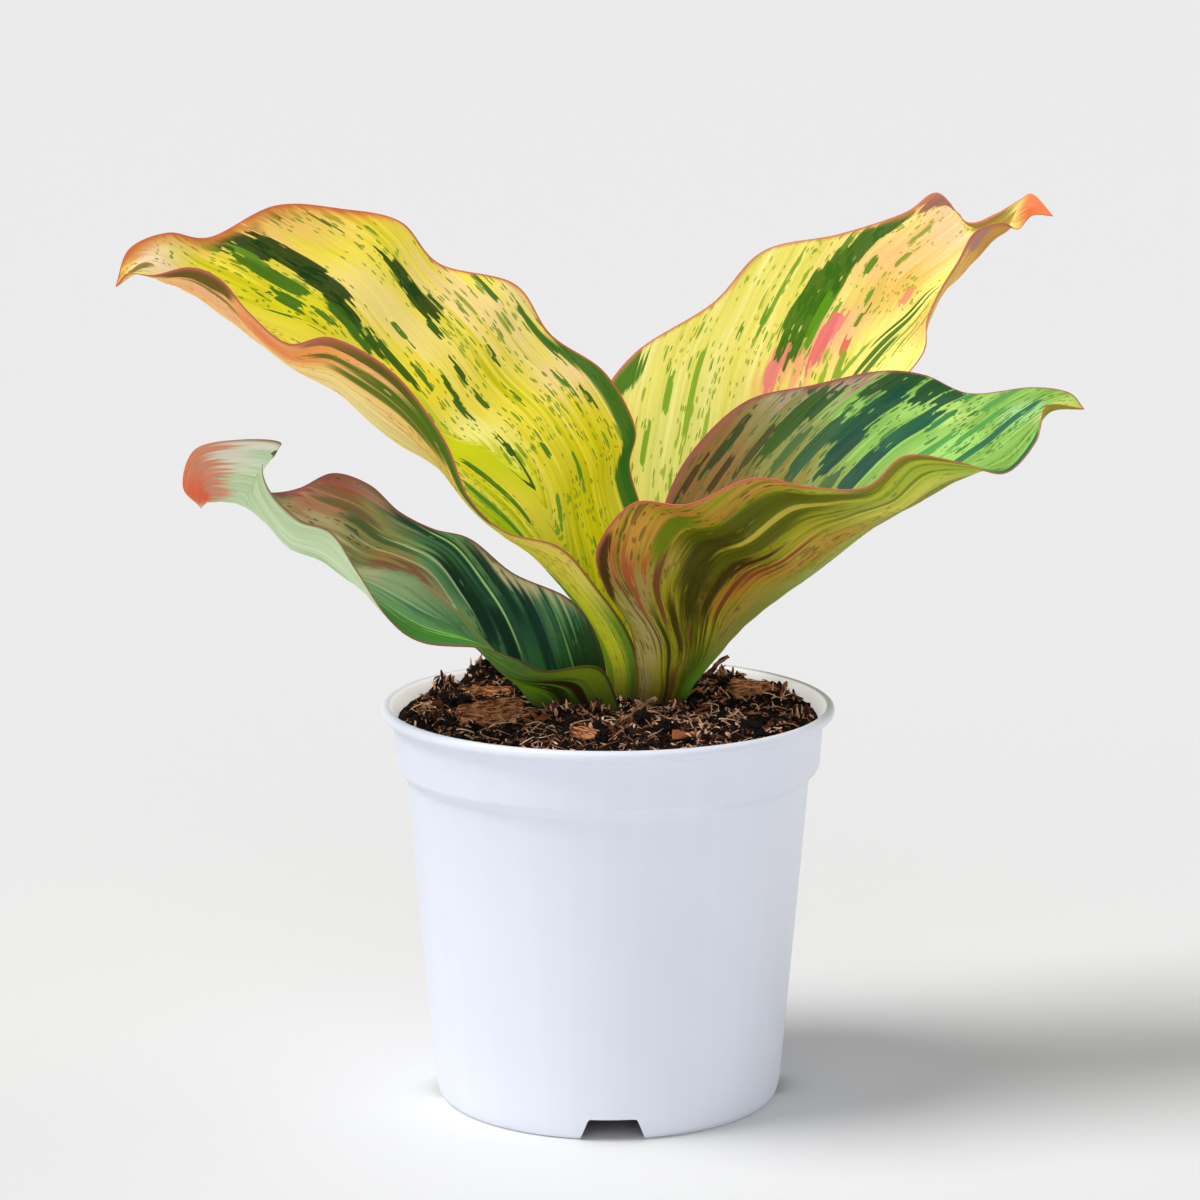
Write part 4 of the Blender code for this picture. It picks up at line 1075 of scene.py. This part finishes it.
def makeMix():
    points = [(0, mix["mound"][0][1], 0)]
    for i in range(1, mix["rings"] + 1):
        radius = mix["reach"] * (i / mix["rings"]) ** 0.9  # rings closer together towards the wall
        points.append((radius, moundHeight(radius), 0))
    bm = turnOutline(points + mix["wall"], mix["turns"])
    for vert in bm.verts:
        x, y, z = vert.co / mm
        if z > 105:  # the top
            inner = step(math.hypot(x, y), mix["reach"], 57.5)
            low = smoothHeight(x, y, 0.9)
            vert.co.z = (low + (mixHeight(x, y) - low) * (0.3 + 0.7 * inner)) * mm
    bmesh.ops.recalc_face_normals(bm, faces=bm.faces[:])
    settle(addPiece("potting_mix", bm, [makeMixFinish()], sharpFrom=60), "soil", "soil")


makeMix()


def divideAlong(bm, axis, cuts):
    # divides the edges that run along an axis
    edges = [e for e in bm.edges if abs(e.verts[0].co[axis] - e.verts[1].co[axis]) > 0.5]
    bmesh.ops.subdivide_edges(bm, edges=edges, cuts=cuts)


def shred(bm, rng):
    # a curled split of husk
    bmesh.ops.create_cube(bm, size=1.0)
    divideAlong(bm, 0, 3)
    curl, twist, wide = rng.uniform(-0.5, 0.5), rng.uniform(-0.9, 0.9), rng.uniform(0.16, 0.42)
    for vert in bm.verts:
        x, y, z = vert.co
        taper = 1 - 0.75 * abs(x * 2) ** 2
        y, z = y * wide * taper + rng.uniform(-0.05, 0.05), z * 0.15 * taper
        turn = twist * x
        vert.co = Vector((x, y * math.cos(turn) - z * math.sin(turn),
                          y * math.sin(turn) + z * math.cos(turn) + curl * (0.25 - x * x)))


def crumb(bm, rng):
    bmesh.ops.create_icosphere(bm, subdivisions=1, radius=0.5)
    for vert in bm.verts:
        vert.co *= rng.uniform(0.5, 1.35)


def makeRod(bm, foot, top, length, sides):
    bmesh.ops.create_cone(bm, cap_ends=True, segments=sides, radius1=foot, radius2=top, depth=length,
                          matrix=Matrix.Rotation(math.pi / 2, 4, "Y"))


def fibre(bm, rng):
    # a thin root or coir hair with one bend
    makeRod(bm, 0.035, 0.012, 1.0, 4)
    divideAlong(bm, 0, 5)
    arch, waves, start = rng.uniform(0.1, 0.4), rng.uniform(2, 6), rng.uniform(0, 6)
    for vert in bm.verts:
        x = vert.co.x
        vert.co.y += 0.09 * math.sin(waves * x + start)
        vert.co.z += arch * (0.25 - x * x)


def clod(bm, rng):
    bmesh.ops.create_icosphere(bm, subdivisions=3, radius=0.5)
    shift = Vector((rng.uniform(0, 50), 0, 0))
    for vert in bm.verts:
        push = noise.noise(vert.co * 4 + shift) * 0.6 + noise.noise(vert.co * 10 + shift) * 0.4
        vert.co *= 1 + push
        vert.co.z *= 0.75


def flake(bm, rng):
    # a small split chip of bark
    slab(bm, rng, 1.0, rng.uniform(0.4, 0.6), 0.14, 7, 3)


def slab(bm, rng, length, width, thick, cutsAlong, cutsAcross):
    # a split piece with a ridged grain along it and torn ends
    bmesh.ops.create_cube(bm, size=1.0)
    divideAlong(bm, 0, cutsAlong)
    divideAlong(bm, 1, cutsAcross)
    shift, bow = rng.uniform(0, 90), rng.uniform(-0.06, 0.1)
    lean, slant = rng.choice((-1, 1)) * rng.uniform(0.7, 1.3), rng.uniform(-0.5, 0.5)
    for vert in bm.verts:
        x, y, z = vert.co
        torn = noise.noise(Vector((shift, y * 9, z * 3))) * 0.16
        ragged = noise.noise(Vector((x * 5, shift, z * 2))) * 0.05
        ridge = noise.noise(Vector((x * 2.5, y * 11, shift))) * 0.54 if z > 0 else 0
        wedge = 1.1 - 0.75 * max(0.0, x * lean + 0.25)
        vert.co = Vector(((x + math.copysign(torn, x) * abs(2 * x)) * length + slant * y * width,
                          (y * wedge + ragged) * width,
                          (z * (1 - 0.3 * abs(2 * y) ** 2) + ridge) * thick + bow * length * (0.25 - x * x)))


litter = {  # lift and tilt say how they lie, tones the low end, span and power of their random tone
    "coir_shreds": {
        "form": shred, "forms": 8, "count": 3000, "sizes": (0.9, 2.8), "lift": 0.14, "tilt": 0.6,
        "tones": (0, 1, 1.1), "finish": "husk",
    },
    "coir_crumbs": {
        "form": crumb, "forms": 8, "count": 1300, "sizes": (0.5, 1.9), "lift": 0.3, "tilt": 1,
        "stretch": (1, 0.8, 0.7), "tones": (0, 1, 1), "finish": "dark",
    },
    "coir_fibres": {
        "form": fibre, "forms": 8, "count": 800, "sizes": (2.5, 7), "lift": 0.1, "tilt": 0.4,
        "tones": (0.35, 0.65, 1), "finish": "husk",
    },
    "mix_clods": {
        "form": clod, "forms": 4, "count": 70, "sizes": (2.2, 5), "lift": 0.12, "tilt": 0.6,
        "ring": (57, 22), "tones": (0, 0.3, 1), "finish": "dark",
    },
    "bark_flakes": {
        "form": flake, "forms": 5, "count": 22, "sizes": (3, 6.5), "lift": 0.12, "tilt": 0.35,
        "ring": (56, 20), "tones": (0.2, 0.8, 1), "finish": "chips",
    },
}
litterLook = {  # finish name, size of its grain, and tones from dark to pale
    "husk": ("coir_husk", 700, [(0.1, "170c07"), (0.32, "4c2918"), (0.56, "a2684a"), (0.85, "f4cca8")]),
    "dark": ("dark_crumb", 700, [(0.1, "050302"), (0.5, "170d08"), (0.9, "54331f")]),
    "chips": ("bark_flake", 900, [(0.1, "3a1c0e"), (0.5, "7a4226"), (0.9, "a8683e")]),
}


def makeLitterFinish(name, grainSize, stops):
    finish = Finish(name, 0.2)
    tone, speck = finish.reading("tone"), finish.noise(finish.place(), grainSize, 3.0, 0.6)
    colour = finish.ramp(tone * 0.8 + speck * 0.35 - 0.08, stops)
    return finish.done(colour, 0.82 + speck * 0.15, speck, (0.6, 0.3))


def laid(rng, x, y, size, lift, tilt, stretch=(1, 1, 1), lean=None):
    # a matrix that lays a form on the mix at random, or stands it up by a lean
    turn = Matrix.Rotation(rng.uniform(0, 2 * math.pi), 4, "Z")
    tip = Matrix.Rotation(rng.gauss(0, tilt) if lean is None else lean, 4, "Y")
    roll = Matrix.Rotation(rng.gauss(0, tilt * 1.4), 4, "X")
    scale = Matrix.Diagonal((*[s * size * mm for s in stretch], 1))
    return Matrix.Translation(Vector((x, y, mixHeight(x, y) + lift * size)) * mm) @ turn @ tip @ roll @ scale


def spikeSpots(rng):
    spots = []
    for x, y, reach, _ in mix["clumps"]:
        for _ in range(mix["spikes"]):
            at = (x + rng.gauss(0, reach * 0.3), y + rng.gauss(0, reach * 0.3))
            if math.hypot(*at) < 59:
                lean = -math.pi / 2 + rng.gauss(0, 0.5)
                spots.append((laid(rng, *at, rng.uniform(2, 4.2), 0.35, 0.6, lean=lean), rng.random() ** 1.5))
    return spots


def makeForm(kind, rng):
    # a small mesh that is repeated, with a value for its tone at each point
    bm = bmesh.new()
    kind["form"](bm, rng)
    bm.verts.layers.float.new("tone")
    mesh = bpy.data.meshes.new("form")
    bm.to_mesh(mesh)
    bm.free()
    return mesh


def scatter(name, forms, spots, material):
    bm = bmesh.new()
    for i, (matrix, tone) in enumerate(spots):
        copy = forms[i % len(forms)].copy()
        copy.transform(matrix)
        copy.attributes["tone"].data.foreach_set("value", [tone] * len(copy.vertices))
        bm.from_mesh(copy)
        bpy.data.meshes.remove(copy)
    for form in forms:
        bpy.data.meshes.remove(form)
    bmesh.ops.recalc_face_normals(bm, faces=bm.faces[:])
    settle(addPiece(name, bm, [material], sharpFrom=35), "soil")


def makeLitter():
    rng = random.Random(mix["seed"])
    finishes = {name: makeLitterFinish(*look) for name, look in litterLook.items()}
    for name, kind in litter.items():
        low, span, power = kind["tones"]
        spots = []
        for _ in range(kind["count"]):
            x, y = spot(rng, *kind.get("ring", ()))
            place = laid(rng, x, y, rng.uniform(*kind["sizes"]), kind["lift"], kind["tilt"],
                         kind.get("stretch", (1, 1, 1)))
            spots.append((place, low + span * rng.random() ** power))
        if kind["form"] == shred:
            spots += spikeSpots(rng)
        scatter(name, [makeForm(kind, rng) for _ in range(kind["forms"])], spots, finishes[kind["finish"]])


makeLitter()


def makeWoodFinish(name):
    finish = Finish(name, 0.2)
    pale, deep = woodLook[name]
    x, y, z = finish.parts(finish.reading("grain", "Vector"))
    rows = finish.noise(finish.vector(x * 0.35, y * 2.2, z * 1.2), 1.0, 4.0, 0.65)
    blot = finish.noise(finish.vector(x * 0.3, y * 0.4, z * 0.4), 1.0)
    colour = finish.mixed(finish.rise(rows, 0.43, 0.58), deep, pale)
    colour = finish.mixed(finish.rise(blot, 0.5, 0.7) * 0.35, colour, woodBlot)
    return finish.done(colour, 0.8 + rows * 0.15, rows, (0.9, 0.6))


def layDown(bm, x, y, heading, lift, tip, roll=0.0):
    # keeps the piece's own millimetres as its grain, then lays it on the mix
    grain = bm.verts.layers.float_vector.new("grain")
    for vert in bm.verts:
        vert[grain] = vert.co.copy()
    place = Matrix.Translation(Vector((x, y, mixHeight(x, y) + lift)) * mm) @ Matrix.Diagonal((mm, mm, mm, 1))
    for angle, axis in ((math.radians(heading), "Z"), (tip, "Y"), (roll, "X")):
        place = place @ Matrix.Rotation(angle, 4, axis)
    bmesh.ops.transform(bm, matrix=place, verts=bm.verts[:])
    bmesh.ops.recalc_face_normals(bm, faces=bm.faces[:])


def makeBark():
    rng = random.Random(mix["seed"] + 2)
    finish = makeWoodFinish("split_bark")
    for node, (x, y, heading, length, width, thick, lean) in bark.items():
        bm = bmesh.new()
        slab(bm, rng, length, width, thick, 26, 12)
        layDown(bm, x, y, heading, 0.6 + 0.32 * width * math.sin(lean), 0.06, lean)
        settle(addPiece(node.replace("bark_chip", "split_bark"), bm, [finish], sharpFrom=40), "bark", node)


def makeTwigs():
    finish = makeWoodFinish("twig_wood")
    for node, (x, y, heading, length, thick, raised) in twigs.items():
        bm = bmesh.new()
        makeRod(bm, thick, thick * 0.6, length, 12)
        divideAlong(bm, 0, 16)
        for vert in bm.verts:
            at = vert.co.copy()
            knot = 1 + 0.5 * noise.noise(Vector((at.x * 0.5, at.y * 1.6, at.z * 1.6 + length)))
            vert.co.y = at.y * knot + 0.5 * math.sin(at.x * 0.45)
            vert.co.z = at.z * knot + 0.3 * math.sin(at.x * 0.7)
        layDown(bm, x, y, heading, thick + raised / 2, -math.asin(raised / length))
        settle(addPiece(node + "_wood", bm, [finish], sharpFrom=50), "twig", node)


makeBark()
makeTwigs()


# Rootstock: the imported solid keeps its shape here

rootstock = {"gloss": 0.25, "tones": ("5c4022", "b08a58"), "rings": (250, 250, 1400), "bump": (0.9, 0.8)}


def makeRootFinish():
    finish = Finish("rootstock_skin", rootstock["gloss"])
    scaled = finish.vectorSum(finish.place(), rootstock["rings"], "MULTIPLY")
    rows = finish.noise(scaled, 1.0, 4.0, 0.6)
    colour = finish.mixed(finish.rise(rows, 0.35, 0.65), *rootstock["tones"])
    return finish.done(colour, 0.8 + rows * 0.15, rows, rootstock["bump"])


rootFinish = makeRootFinish()
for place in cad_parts["rootstock"].material_slots:
    place.material = rootFinish
print("rootstock finished")
